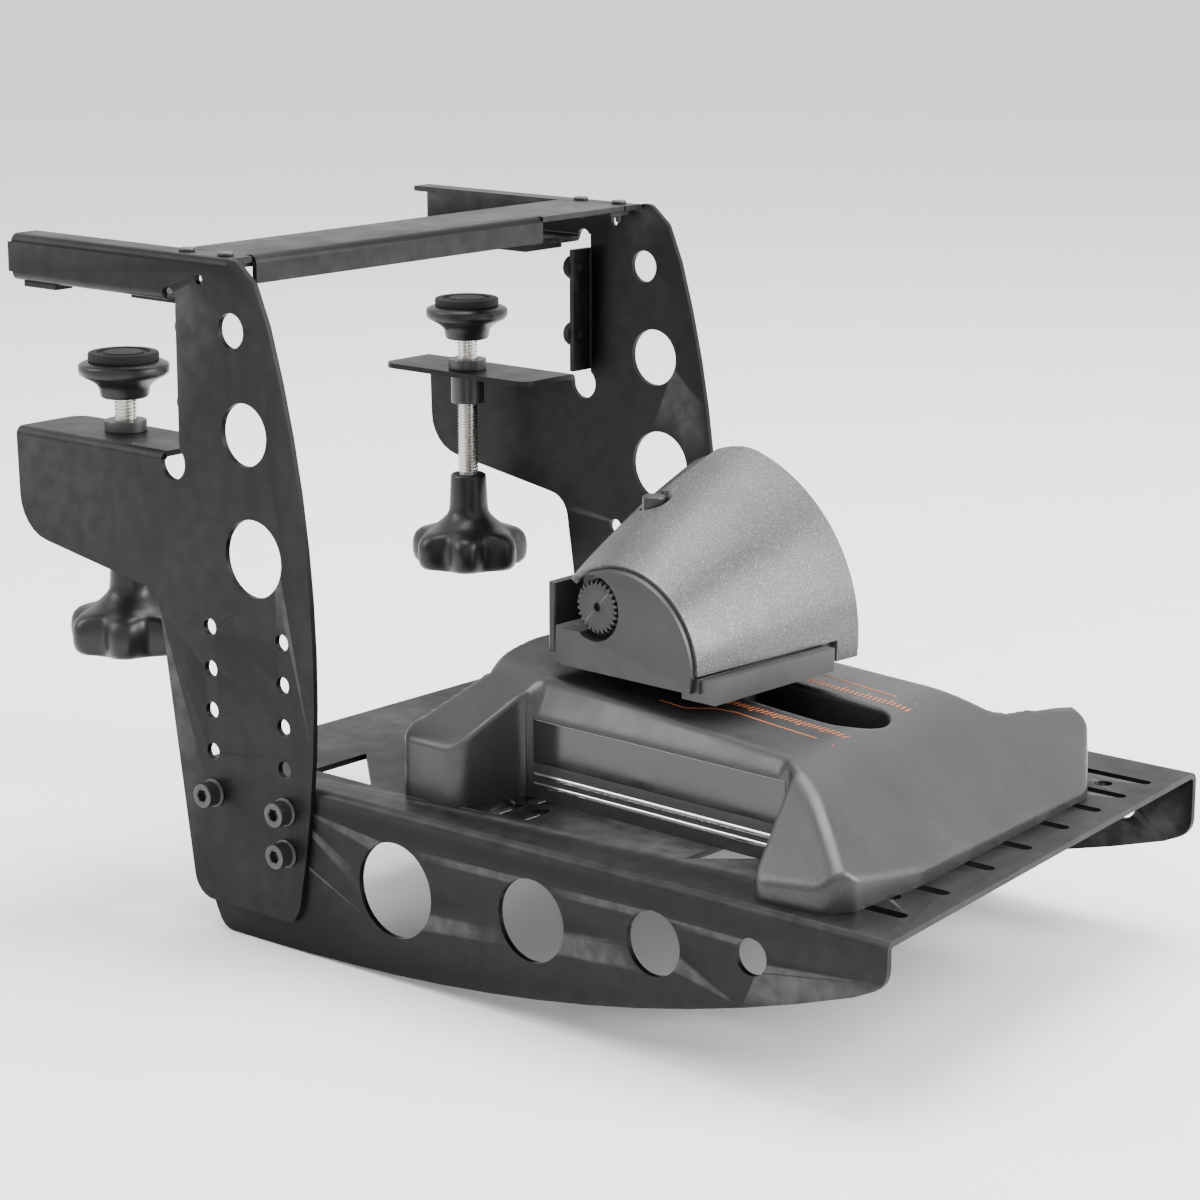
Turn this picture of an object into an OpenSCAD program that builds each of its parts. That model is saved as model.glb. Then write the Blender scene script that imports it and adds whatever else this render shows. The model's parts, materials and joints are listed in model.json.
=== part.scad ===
/* [Frame] */
// Overall width over the two uprights
frame_w = 216; // [180:1:260]
// Thickness of the bent sheets
sheet_t = 2; // [1.6:0.1:2.5]
// Outer radius of every sheet bend
bend_r = 3; // [2.6:0.1:4]
// How far the arms and jaws reach over the desk
arm_reach = 81; // [68:1:97]
// Height of an arm's web
arm_h = 16.5; // [14:0.5:20]
// Width of an arm's top lip
lip_w = 11.5; // [10:0.5:14]
// Width of the flange that rests on the desk
rest_w = 32; // [26:1:38]
// Width of the flange that carries the clamp screw
jaw_w = 30; // [25:1:36]
// Depth of the gap between desk-top plane and jaw
gap_h = 50; // [44:1:60]
// Depth of the uprights below the desk-top plane
drop_h = 206; // [200:1:240]
// Radius of the bowed user-side edge of the uprights
bow_r = 380; // [330:10:450]
// Thickness of the rubber pads under the arms
pad_t = 2.2; // [1.5:0.1:3]
// Thickness of the rubber bumpers at the desk edge
bumper_t = 3.3; // [2.5:0.1:5]
// Depth of the bridge between the uprights
bridge_d = 33; // [28:1:38]

/* [Adjustment holes] */
// Clearance hole of the tray bolts
adjust_d = 6; // [5.4:0.1:6.5]
// Vertical pitch of the holes
adjust_pitch = 14.7; // [13.5:0.1:15.5]
// Distance between the two columns
adjust_gap = 35; // [30:1:38]

/* [Clamps] */
// Thread diameter of the clamp screws
screw_d = 8; // [7:0.5:9]
// Diameter of the rubber pressure pad
press_d = 25; // [22:1:28]
// Largest diameter of the pressure cup
cup_d = 32; // [28:1:36]
// Diameter over the knob's lobes
knob_d = 48; // [42:1:54]
// Height of the pads below the desk-top plane at rest
press_z = 21.8; // [18:0.2:24]

/* [Tray] */
// Depth of the deck's top below the desk-top plane
deck_drop = 157.3; // [152:0.1:160]
// Reach of the deck's near corner from the desk edge
tray_reach = 300.7; // [290:0.1:330]
// How much shorter the deck is on its far side
tray_skew = 22; // [0:1:30]
// Depth of the flanges at the uprights
flange_h = 59; // [54:1:64]

/* [Throttle base] */
// Half width of the foot of the base
base_half = 95; // [90:1:98]
// Height of the base's top at its middle
base_h = 32.5; // [31:0.5:40]
// Half width of the flat top
top_half = 48; // [44:1:52]
// Fall of the top towards the user, in degrees
top_fall = 3; // [2:0.5:4]
// Width of the slot
slot_w = 25; // [24:1:28]
// Length of the slot
slot_l = 122; // [112:1:130]
// Diameter of the two guide rods
rod_d = 6; // [5:0.5:8]

/* [Grip] */
// Length of the grip across the slide
grip_l = 81; // [76:1:90]
// Diameter of the toothed dial
dial_d = 17.2; // [15:0.2:19]
// Wall of the palm shell
shell_t = 2.5; // [2:0.1:3]

/* [Hidden] */
$fn = 48;

fit = 0.05;        // radial play of a running fit
gap = 0.4;         // play between bodies that only pass each other
half_w = frame_w/2;
inner_w = half_w - sheet_t;
black = [0.07, 0.065, 0.065];
rubber = [0.05, 0.05, 0.05];
zinc = [0.72, 0.72, 0.70];
grey = [0.22, 0.22, 0.23];

// ---- outline helpers ------------------------------------------------------------------------
function unit(v) = v/norm(v);
function turn(a) = a > 180 ? a - 360 : a < -180 ? a + 360 : a;
// points of the arc that rounds corner b between a and c with radius r
function corner(a, b, c, r, n) =
    let (u = unit([a[0] - b[0], a[1] - b[1]]), w = unit([c[0] - b[0], c[1] - b[1]]),
         half = acos(u*w)/2, o = [b[0], b[1]] + unit(u + w)*r/sin(half),
         p = [b[0], b[1]] + u*r/tan(half) - o, q = [b[0], b[1]] + w*r/tan(half) - o,
         from = atan2(p[1], p[0]), sweep = turn(atan2(q[1], q[0]) - from))
    [for (i = [0:n]) o + r*[cos(from + sweep*i/n), sin(from + sweep*i/n)]];
// an outline of [x, y, corner radius] rows, with each corner rounded
function rounded(pts, n = 6) = let (m = len(pts))
    [for (i = [0:m - 1]) each pts[i][2] > 0
        ? corner(pts[(i + m - 1)%m], pts[i], pts[(i + 1)%m], pts[i][2], n)
        : [[pts[i][0], pts[i][1]]]];
// stands an X-Z outline up and gives it a thickness from y0 to y1
module side_plate(y0, y1) { translate([0, y1, 0]) rotate([90, 0, 0]) linear_extrude(y1 - y0) children(); }
// sweeps a Y-Z profile along X
module along_x(x0, x1) { translate([x0, 0, 0]) rotate([90, 0, 90]) linear_extrude(x1 - x0) children(); }
module block(lo, hi) { translate(lo) cube(hi - lo); }
module peg(p, d, h) { translate(p) cylinder(d = d, h = h); }
// mirrors the left side's pieces to the right side
module side(s) { if (s < 0) children(); else mirror([0, 1, 0]) children(); }
// a strip bent once: one leg along +u, one leg along +v, outer corner at the origin
function bent(a, b) = rounded([[0, 0, bend_r], [a, 0, 0], [a, sheet_t, 0],
    [sheet_t, sheet_t, bend_r - sheet_t], [sheet_t, b, 0], [0, b, 0]], 5);

// ---- frame places ----------------------------------------------------------------------------
arm_top = pad_t + arm_h;
edge_x = bumper_t + sheet_t;          // desk-side edge of an upright's web
bow_x = 67.7 - bow_r;                 // centre of the bowed edge
bow_z = -0.575*drop_h;
function bowed(z) = bow_x + sqrt(bow_r*bow_r - (z - bow_z)*(z - bow_z));
foot_x = bowed(-drop_h);
adjust_x = 17.9;
adjust_z = -deck_drop - 9.5 + 4*adjust_pitch;      // top row of holes
relief_d = 12;
bush_x = -43.8;
bush_y = half_w - 19.3;
bush_d = 13;
collar_d = 15;
edge_flange_w = 12;
bumper_z = [-7.1, -32.8];
bumper_y = inner_w - 6.2;
bridge_x = -2.5;
bridge_lap = lip_w - sheet_t - 0.5;
bridge_screw_x = [bridge_x + 7, bridge_x + bridge_d - 7];
bridge_screw_y = half_w - lip_w/2 - 1;
front_lip_h = 9.5;
front_lip_y = [-inner_w + lip_w + 0.5, 0.463*half_w];

web_outline = concat(
    rounded([[-arm_reach, pad_t + bend_r, 0], [-arm_reach, arm_top - bend_r, 0],
             [31, arm_top - bend_r, 0]]),
    rounded([[31, arm_top, 0], [35, arm_top, 4], [43.5, arm_top - 7, 4], [bowed(-2), -2, 0]]),
    [for (i = [1:11]) let (z = -2 - (drop_h - 8)*i/11) [bowed(z), z]],
    rounded([[bowed(-drop_h + 6), -drop_h + 6, 0], [foot_x - 2, -drop_h, 3], [8, -drop_h, 9],
             [-8, -gap_h - 49.5, 10], [-arm_reach + 1.5, -gap_h - 37.5, 16],
             [-arm_reach + 0.5, -gap_h - bend_r, 0]]),
    [[edge_x, -gap_h - bend_r], [edge_x, pad_t + bend_r]]);

module web_holes() {
    for (h = [[32, -5, 12], [37, -39.4, 21.5], [40.1, -81.2, 26.8]])
        translate([h[0], h[1]]) circle(d = h[2]);
    translate([17.2, 10.9]) circle(d = 3.4);
    for (row = [0:4], col = [0, 1])
        translate([adjust_x + col*adjust_gap, adjust_z - row*adjust_pitch]) circle(d = adjust_d);
    translate([adjust_x + adjust_gap, adjust_z - 5*adjust_pitch]) circle(d = adjust_d);
    translate([edge_x - 3.6, -gap_h - 3]) circle(d = relief_d);
    translate([edge_x - 3.6, pad_t + 1.8]) circle(d = 6);
}

// left-hand upright with its arm, jaw and flanges; the right one is its mirror image
module upright() {
    difference() {
        union() {
            side_plate(-half_w, -inner_w) polygon(web_outline);
            // top lip, along the arm and the upright's head
            translate([0, -half_w, arm_top]) mirror([0, 0, 1])
                along_x(-arm_reach + 2, 31) polygon(bent(lip_w, bend_r + 0.01));
            translate([0, -half_w, pad_t]) along_x(-arm_reach + 2, edge_x - 6)
                polygon(bent(lip_w, bend_r + 0.01));
            // plan outline of the desk-contact flange, narrow at the tip and wide at the desk edge
            translate([0, 0, pad_t]) linear_extrude(sheet_t) polygon(rounded([
                [-arm_reach + 2, -half_w + bend_r, 0], [edge_x - 8.3, -half_w + bend_r, 0],
                [edge_x - 8.3, -half_w + rest_w, 7], [-30, -half_w + rest_w, 7],
                [-46, -half_w + lip_w, 7], [-arm_reach + 2, -half_w + lip_w, 3]]));
            // jaw flange
            translate([0, -half_w, -gap_h]) mirror([0, 0, 1])
                along_x(-arm_reach + 0.5, edge_x - 9) polygon(bent(lip_w, bend_r + 0.01));
            translate([0, 0, -gap_h - sheet_t]) linear_extrude(sheet_t) polygon(rounded([
                [-arm_reach + 0.5, -half_w + bend_r, 0], [edge_x - 9, -half_w + bend_r, 0],
                [edge_x - 9, -half_w + jaw_w, 6], [-arm_reach + 0.5, -half_w + jaw_w, 6]]));
            // desk-edge flange
            translate([edge_x - sheet_t, -half_w, -gap_h + 3]) linear_extrude(gap_h - 3)
                polygon(bent(bend_r + sheet_t, edge_flange_w));
        }
        side_plate(-half_w - 1, -inner_w + 0.01) web_holes();
        peg([bush_x, -bush_y, -gap_h - sheet_t - 1], bush_d, sheet_t + 2);
        for (x = bridge_screw_x) peg([x, -bridge_screw_y, arm_top - sheet_t - 1], 3.2, sheet_t + 2);
        for (z = bumper_z)
            translate([edge_x - sheet_t - 1, -bumper_y, z]) rotate([0, 90, 0]) cylinder(d = 3.2, h = sheet_t + 2);
    }
}

module left_upright() { color(black) side(-1) upright(); }
module right_upright() { color(black) side(1) upright(); }

module top_bridge() {
    mid = inner_w - lip_w + sheet_t - 0.5;
    color(black) difference() {
        union() {
            block([bridge_x, -mid, arm_top - sheet_t], [bridge_x + bridge_d - bend_r, mid, arm_top]);
            // joggled ends that lie under the uprights' lips
            for (s = [-1, 1]) {
                block([bridge_x, min(s*mid, s*(mid - 4)), arm_top - 2*sheet_t],
                    [bridge_x + bridge_d - bend_r, max(s*mid, s*(mid - 4)), arm_top - sheet_t]);
                block([bridge_x, min(s*(mid - 4), s*(mid + bridge_lap)), arm_top - 2*sheet_t - 0.0],
                    [bridge_x + bridge_d - bend_r, max(s*(mid - 4), s*(mid + bridge_lap)),
                     arm_top - sheet_t]);
            }
            // front lip
            translate([bridge_x + bridge_d, front_lip_y[0], arm_top]) rotate([-90, 0, 0])
                mirror([1, 0, 0]) linear_extrude(front_lip_y[1] - front_lip_y[0])
                    polygon(bent(bend_r + 1, front_lip_h));
            block([bridge_x + bridge_d - bend_r, front_lip_y[1], arm_top - sheet_t],
                [bridge_x + bridge_d, mid, arm_top]);
            // rear stiffening lip
            block([bridge_x, -mid + 6, arm_top - 7], [bridge_x + sheet_t, mid - 6, arm_top - sheet_t]);
        }
        for (x = bridge_screw_x, s = [-1, 1])
            peg([x, s*bridge_screw_y, arm_top - 2*sheet_t - 1], 2.5 + 2*fit, sheet_t + 1.5);
    }
}

module bridge_screws() {
    color(grey) for (x = bridge_screw_x, s = [-1, 1]) {
        peg([x, s*bridge_screw_y, arm_top - 2*sheet_t - 3], 2.5, 2*sheet_t + 3);
        peg([x, s*bridge_screw_y, arm_top], 5.6, 1.2);
    }
}

// ---- tray ------------------------------------------------------------------------------------
deck_z = -deck_drop;
tray_half = inner_w;
tray_x0 = 8;
bottom_z = deck_z - flange_h;
tray_end = tray_reach;
far_end = tray_reach - tray_skew;
function sweep_z(x) = bottom_z + 42*pow((x - 17)/(tray_reach - 21.7), 2.5);
// what is trimmed off below the swept lower edges of both flanges
flange_trim = concat(
    [[tray_x0 - 5, bottom_z - 9], [tray_x0 - 5, -drop_h + 12], [tray_x0, -drop_h + 12]],
    rounded([[tray_x0, -drop_h + 12, 0], [tray_x0 + 6, -drop_h, 3], [19, bottom_z, 7], [40, sweep_z(40), 0]]),
    [for (i = [1:12]) let (x = 40 + (tray_end - 52)*i/12) [x, sweep_z(x)]],
    rounded([[tray_end - 12, sweep_z(tray_end - 12), 0], [tray_end, sweep_z(tray_end - 2) + 2, 8],
        [tray_end, deck_z - 6, 0]]),
    [[tray_end + 9, deck_z - 6], [tray_end + 9, bottom_z - 9]]);
flange_holes = [[101.9, 27.4, 32.8], [162, 24.4, 27.8], [212.5, 20.5, 21.3], [250.7, 16, 11.9]];
slot_y = [-83.5, -58, -29, -4, 22, 45, 64, 83];
rear_slots = [[128, 80], [139, 79], [119, 63], [130, 63]];
tray_slot_w = 4.5;
edge_slot_l = 26;
function edge_x_at(y) = tray_end - (tray_skew)*(y + tray_half)/(2*tray_half);
mount_x = [108, 248];
mount_y = 58;

// outline of a slot between two points, along X or along Y
module slot(x0, y0, x1, y1) {
    r = tray_slot_w/2;
    e = r - 0.02;
    polygon(rounded([[x0 - r, y0 - r, e], [x1 + r, y0 - r, e], [x1 + r, y1 + r, e], [x0 - r, y1 + r, e]], 8));
}
// channel profile across the tray, bent down along both sides
tray_profile = let (depth = flange_h + 1, w = tray_half) rounded([
    [-w, 0, bend_r], [-w, -depth, 0], [-w + sheet_t, -depth, 0], [-w + sheet_t, -sheet_t, bend_r - sheet_t],
    [w - sheet_t, -sheet_t, bend_r - sheet_t], [w - sheet_t, -depth, 0], [w, -depth, 0], [w, 0, bend_r]], 5);
// what is trimmed off the shorter far flange
far_trim = rounded([[far_end, deck_z + 5, 0], [far_end, sweep_z(far_end - 2) + 2, 8],
    [far_end - 14, sweep_z(far_end - 14) - 0.5, 0], [far_end - 14, bottom_z - 5, 0],
    [tray_end + 9, bottom_z - 5, 0], [tray_end + 9, deck_z + 5, 0]]);

// outlines cut through the deck
module deck_cuts() {
    // slanted user edge
    polygon([[tray_end, -tray_half + bend_r], [tray_end + 20, -tray_half], [tray_end + 20, tray_half + 9],
        [far_end, tray_half + 9], [far_end, tray_half - bend_r]]);
    for (y = slot_y) slot(edge_x_at(y) - 6.6 - edge_slot_l, y, edge_x_at(y) - 9, y);
    for (s = [-1, 1], r = rear_slots) slot(r[0], s*r[1] - 5, r[0], s*r[1] + 5);
    for (y = [-71, 73]) translate([edge_x_at(y) - 20, y]) circle(d = 6);
    for (s = [-1, 1]) {
        polygon([[47, s*63], [47, s*89], [75, s*89]]);
        polygon([[206, s*83], [206, s*58], [235, s*58]]);
    }
    for (x = mount_x, s = [-1, 1]) translate([throttle_x, throttle_y]) rotate(throttle_turn)
        translate([x - throttle_x, s*mount_y]) circle(d = 5);
}
module platform_tray() {
    color(black) difference() {
        translate([0, 0, deck_z]) along_x(tray_x0, tray_end) polygon(tray_profile);
        side_plate(-frame_w, frame_w) polygon(flange_trim);
        side_plate(tray_half - bend_r, tray_half + 1) polygon(far_trim);
        side_plate(-frame_w, frame_w) {
            for (h = flange_holes) translate([h[0], deck_z - h[1]]) circle(d = h[2]);
            for (b = tray_bolt_at()) translate(b) circle(d = adjust_d);
        }
        translate([0, 0, deck_z - 6]) linear_extrude(9) deck_cuts();
    }
}

function tray_bolt_at() = [[adjust_x, adjust_z - 4*adjust_pitch],
    [adjust_x + adjust_gap, adjust_z - 4*adjust_pitch],
    [adjust_x + adjust_gap, adjust_z - 5*adjust_pitch]];
bolt_d = 5;
bolt_head_d = 8.5;
module tray_bolts() {
    color(black) for (s = [-1, 1], b = tray_bolt_at()) side(s) translate([b[0], -half_w, b[1]])
        rotate([90, 0, 0]) difference() {
            union() {
                cylinder(d = 10, h = 1);
                cylinder(d = bolt_head_d, h = 6);
                translate([0, 0, -2*sheet_t - 8]) cylinder(d = bolt_d, h = 2*sheet_t + 9);
            }
            translate([0, 0, 3]) cylinder(d = 4.6, h = 4, $fn = 6);
        }
}
module tray_nuts() {
    color(zinc) for (s = [-1, 1], b = tray_bolt_at()) side(s)
        translate([b[0], -inner_w + sheet_t, b[1]]) rotate([-90, 0, 0]) difference() {
            union() {
                cylinder(d = 10, h = 1);
                cylinder(d = 9.2, h = 5, $fn = 6);
            }
            translate([0, 0, -1]) cylinder(d = bolt_d, h = 7);
        }
}

module edge_bumpers() {
    color(rubber) for (s = [-1, 1], z = bumper_z) side(s)
        translate([0, -bumper_y, z]) rotate([0, 90, 0]) {
            cylinder(d = 8.2, h = 1);
            translate([0, 0, 1]) cylinder(d = 9.4, h = bumper_t - 1);
            cylinder(d = 3, h = bumper_t + sheet_t);
        }
}

module arm_pads() {
    color(rubber) for (s = [-1, 1]) side(s) {
        block([-26, -half_w + 8, 0], [-4, -half_w + rest_w - 3, pad_t]);
        block([-arm_reach + 5, -half_w + 2.5, 0], [-arm_reach + 22, -half_w + lip_w - 1, pad_t]);
    }
}

// ---- clamps ----------------------------------------------------------------------------------
cup_top = -press_z - 3.2;
cup_h = 13;
screw_bottom = -96;
stem_top = -92;
knob_bottom = -128.8;
module clamp_bushes() {
    color(grey) for (s = [-1, 1]) side(s) difference() {
        union() {
            peg([bush_x, -bush_y, -gap_h], collar_d, 4);
            peg([bush_x, -bush_y, -gap_h - 13.4], bush_d, 13.5);
        }
        peg([bush_x, -bush_y, -gap_h - 20], screw_d + 2*fit, 30);
    }
}
module clamp_screw() {
    color(zinc) {
        peg([bush_x, -bush_y, screw_bottom - 20], screw_d, cup_top - 6 - screw_bottom + 20);
        peg([bush_x, -bush_y, cup_top - 6.5], screw_d + 3, 2.5);
    }
}
lobes = 7;
lobe_depth = 3;
// outline of the knob's ring, with rounded lobes
knob_outline = [for (i = [0:lobes*12 - 1]) let (a = i*360/(lobes*12),
    r = knob_d/2 - lobe_depth*(1 - cos(lobes*a))/1.2) r*[cos(a), sin(a)]];
module clamp_knob() {
    stem_d = 14.5;
    color(black) difference() {
        union() {
            translate([bush_x, -bush_y, knob_bottom]) linear_extrude(15) polygon(knob_outline);
            translate([bush_x, -bush_y, 0]) rotate_extrude() polygon([[0, knob_bottom + 11],
                [14, knob_bottom + 11], [14, knob_bottom + 15.6], [9.5, stem_top - 17],
                [stem_d/2 + 0.6, stem_top - 15], [stem_d/2, stem_top], [0, stem_top]]);
        }
        peg([bush_x, -bush_y, screw_bottom - 20], screw_d, 40);
        peg([bush_x, -bush_y, knob_bottom - 1], knob_d - 24, 5);
    }
}
module clamp_cup() {
    color(black) translate([bush_x, -bush_y, 0]) difference() {
        rotate_extrude() polygon([[0, cup_top - cup_h], [8.4, cup_top - cup_h], [9, cup_top - 8],
            [cup_d/2, cup_top - 4.5], [cup_d/2, cup_top - 1], [press_d/2 + 1, cup_top],
            [0, cup_top]]);
        // socket that turns on the screw's ball collar
        translate([0, 0, cup_top - cup_h - 1]) cylinder(d = screw_d + 2*fit, h = cup_h - 5);
        translate([0, 0, cup_top - 6.5 - fit]) cylinder(d = screw_d + 3 + 2*fit, h = 2.5 + 2*fit);
    }
}
module clamp_pad() { color(rubber) peg([bush_x, -bush_y, cup_top], press_d, 3.2); }

module left_clamp_screw() { side(-1) clamp_screw(); }
module left_clamp_knob() { side(-1) clamp_knob(); }
module left_clamp_cup() { side(-1) clamp_cup(); }
module left_clamp_pad() { side(-1) clamp_pad(); }
module right_clamp_screw() { side(1) clamp_screw(); }
module right_clamp_knob() { side(1) clamp_knob(); }
module right_clamp_cup() { side(1) clamp_cup(); }
module right_clamp_pad() { side(1) clamp_pad(); }

// ---- throttle base ---------------------------------------------------------------------------
throttle_x = 180;
throttle_y = -4;
throttle_turn = -2;
// puts pieces of the throttle on the deck
module throttle_at() { translate([throttle_x, throttle_y, deck_z]) rotate([0, 0, throttle_turn]) children(); }

wall = 2.6;
mid_y = -8.5;                       // centre line of the slot
desk_x = -88;                       // desk-side face of the base
lip_x = 100;                        // user-side edge of the base, at its near end
lip_turn = 9;
block_end = -61.5;
waist_near = -62.5;
waist_x = [-51, 57];
waist_far = 47;
block_half = base_half - 6;
far_half = base_half + 3;
floor_t = 2;
rod_y = [mid_y - 19, mid_y + 19];
rod_h = 13;
slot_x = [-9 - slot_l/2, -9 + slot_l/2];
function roof(x, cut = 0) = base_h + 3.8 - tan(top_fall)*x - cut;

base_plan = rounded([[desk_x, -block_half, 5], [block_end, -block_half, 6], [waist_x[0] - 4, waist_near, 4],
    [waist_x[1] + 4, waist_near, 6], [69, -base_half + 1.5, 5], [94, -base_half + 4, 6], [lip_x, -82, 7],
    [lip_x, -50, 40], [85, 62, 16], [64, far_half - 6, 5], [52, far_half - 6, 4], [58, 50, 6],
    [waist_x[0] - 4, waist_far, 4], [block_end, 76, 6], [desk_x, 76, 5]], 4);

// space under the sloping top, the user-side apron and the near and far slopes, pulled in by t
module base_under(t, slopes) {
    intersection() {
        side_plate(-base_half - 9, far_half + 9) polygon([[desk_x - 1, -1], [desk_x - 1, 20],
            [desk_x + 3 + t, roof(desk_x, t) - 5], [desk_x + 12 + t, roof(desk_x, t) + 0.4],
            [lip_x + 2, roof(lip_x, t)], [lip_x + 2, -1]]);
        translate([66 - t, -60, roof(66, 0)]) rotate([0, 0, lip_turn]) translate([0, -60, 0])
            rotate([0, 36, 0]) translate([-260, -20, -120]) cube([360, 240, 120 - t]);
        along_x(desk_x - 2, lip_x + 2) polygon(slopes);
    }
}
core_slopes = [[waist_near - 0.1, -1], [waist_near, 28], [waist_near + 6, 37], [0, 60],
    [waist_far - 7, 38], [waist_far + 6, 27], [waist_far + 9, -1]];
wing_slopes = [[-base_half - 1, -1], [-base_half + 1.5, 5], [-62, 36], [0, 60], [48, 37],
    [far_half, 19], [far_half + 1, -1]];
block_slopes = [[-base_half - 1, -1], [-base_half + 2, 15], [-block_half + 4, 24], [-62, 37],
    [0, 60], [48, 37], [far_half, 19], [far_half + 1, -1]];

module base_cavity() {
    intersection() {
        base_under(wall, [for (p = core_slopes) [p[0] + (p[0] < 0 ? wall : -wall), p[1] - 1.5]]);
        union() {
            block([desk_x + wall, waist_near + wall, -1], [58, waist_far - wall, 60]);
            block([50, -78, -1], [lip_x - 16, 40, 60]);
        }
    }
    block([desk_x + 6, -block_half + 6, -1], [block_end - 5, waist_near + 8, 18]);
    block([desk_x + 6, waist_far - 8, -1], [block_end - 5, 68, 18]);
}

boss_d = 12;
// posts that take the screws through the deck
module tray_bosses(d, h) { for (x = mount_x, s = [-1, 1]) peg([x - throttle_x, s*mount_y, -1], d, h + 1); }

gland_y = 30;
socket_y = -46;
socket_w = 15;
tension_y = mid_y;
tension_h = 17;
module base_top_shell() {
    color(grey) throttle_at() difference() {
        intersection() {
            linear_extrude(60) polygon(base_plan);
            union() {
                base_under(0, core_slopes);
                intersection() {
                    base_under(0, wing_slopes);
                    block([waist_x[1] - 3, -base_half - 9, -2], [lip_x + 9, far_half + 9, 70]);
                }
                intersection() {
                    base_under(0, block_slopes);
                    block([desk_x - 9, -base_half - 9, -2], [waist_x[0] - 3, far_half + 9, 70]);
                }
            }
        }
        difference() {
            base_cavity();
            tray_bosses(boss_d, 30);
        }
        tray_bosses(4, 8);
        // slot for the grip's neck
        for (x = [slot_x[0] + slot_w/2, slot_x[1] - slot_w/2]) peg([x, mid_y, 20], slot_w, 40);
        block([slot_x[0] + slot_w/2, mid_y - slot_w/2, 20], [slot_x[1] - slot_w/2, mid_y + slot_w/2, 60]);
        // recess of the waist panels and trim strips
        block([waist_x[0], waist_near - 1, 12.5], [waist_x[1], waist_near + 1, 27.5]);
        for (h = [4.2, 7.6]) block([waist_x[0], waist_near - 1, h], [waist_x[1], waist_near + 0.8, h + 1.6]);
        // openings in the desk-side face
        block([desk_x - 1, socket_y - socket_w/2, 5], [desk_x + 12, socket_y + socket_w/2, 18]);
        translate([desk_x - 1, gland_y, 12]) rotate([0, 90, 0]) cylinder(d = 9, h = 8);
        translate([desk_x - 1, tension_y, tension_h]) rotate([0, 90, 0]) cylinder(d = 4 + 2*fit, h = 8);
    }
}

module base_bottom_plate() {
    color(black) throttle_at() difference() {
        block([desk_x + wall, waist_near + wall, 0], [58, waist_far - wall, floor_t]);
        tray_bosses(boss_d + gap, 30);
    }
}
module base_screws() {
    color(zinc) throttle_at() for (x = mount_x, s = [-1, 1]) {
        peg([x - throttle_x, s*mount_y, -sheet_t - 2.6], 8, 2.6);
        peg([x - throttle_x, s*mount_y, -sheet_t - 2.6], 4, 9.6);
    }
}
module waist_panels() {
    color([0.03, 0.03, 0.035]) throttle_at() 
        block([waist_x[0], waist_near - 0.3, 12.5], [waist_x[1], waist_near + 1, 27.5]);
}
module trim_strips() {
    color([0.8, 0.8, 0.8]) throttle_at() for (h = [4.2, 7.6])
        block([waist_x[0], waist_near - 0.4, h], [waist_x[1], waist_near + 0.8, h + 1.6]);
}

// ---- inside the base -------------------------------------------------------------------------
rod_x = [-80, 56];
module guide_rods() {
    color(zinc) throttle_at() for (y = rod_y) translate([rod_x[0], y, rod_h]) rotate([0, 90, 0])
        cylinder(d = rod_d, h = rod_x[1] - rod_x[0]);
}
module rod_blocks() {
    color(black) throttle_at() difference() {
        for (x = [rod_x[0] - 1, rod_x[1] - 5])
            block([x, rod_y[0] - 7, floor_t], [x + 6, rod_y[1] + 7, rod_h + 6]);
        for (y = rod_y) translate([rod_x[0], y, rod_h]) rotate([0, 90, 0])
            cylinder(d = rod_d, h = rod_x[1] - rod_x[0]);
        translate([rod_x[0] - 3, tension_y, tension_h]) rotate([0, 90, 0])
            cylinder(d = 4 + 2*fit, h = 9);
    }
}
module main_board() {
    color([0.05, 0.25, 0.12]) throttle_at() {
        block([-40, -58, floor_t + 3], [40, -38, floor_t + 4.6]);
        for (x = [-36, 36], y = [-55, -41]) peg([x, y, floor_t], 4, 3);
        block([-20, -53, floor_t + 4.6], [-8, -43, floor_t + 6.4]);
        block([14, -56, floor_t + 4.6], [30, -50, floor_t + 9]);
    }
}
sensor_y = mid_y + 36;
module position_sensor() {
    color([0.1, 0.1, 0.1]) throttle_at() {
        block([-70, sensor_y - 5, floor_t], [50, sensor_y + 5, floor_t + 8]);
    }
}
module pedal_socket() {
    color([0.1, 0.1, 0.1]) throttle_at() difference() {
        block([desk_x, socket_y - socket_w/2, 5], [desk_x + 12, socket_y + socket_w/2, 18]);
        block([desk_x - 1, socket_y - 5.5, 7], [desk_x + 9, socket_y + 5.5, 15]);
    }
}
module cable_gland() {
    color(rubber) throttle_at() translate([desk_x + 6, gland_y, 12]) rotate([0, -90, 0])
        rotate_extrude() polygon([[2.5, 0], [4.5, 0], [4.5, 6], [5.5, 6], [4, 16], [2.5, 16]]);
}
module tension_screw() {
    color(grey) throttle_at() translate([desk_x, tension_y, tension_h]) rotate([0, -90, 0]) {
        translate([0, 0, -12]) cylinder(d = 4, h = 13);
        translate([0, 0, gap]) cylinder(d = 13, h = 6);
    }
}

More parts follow.
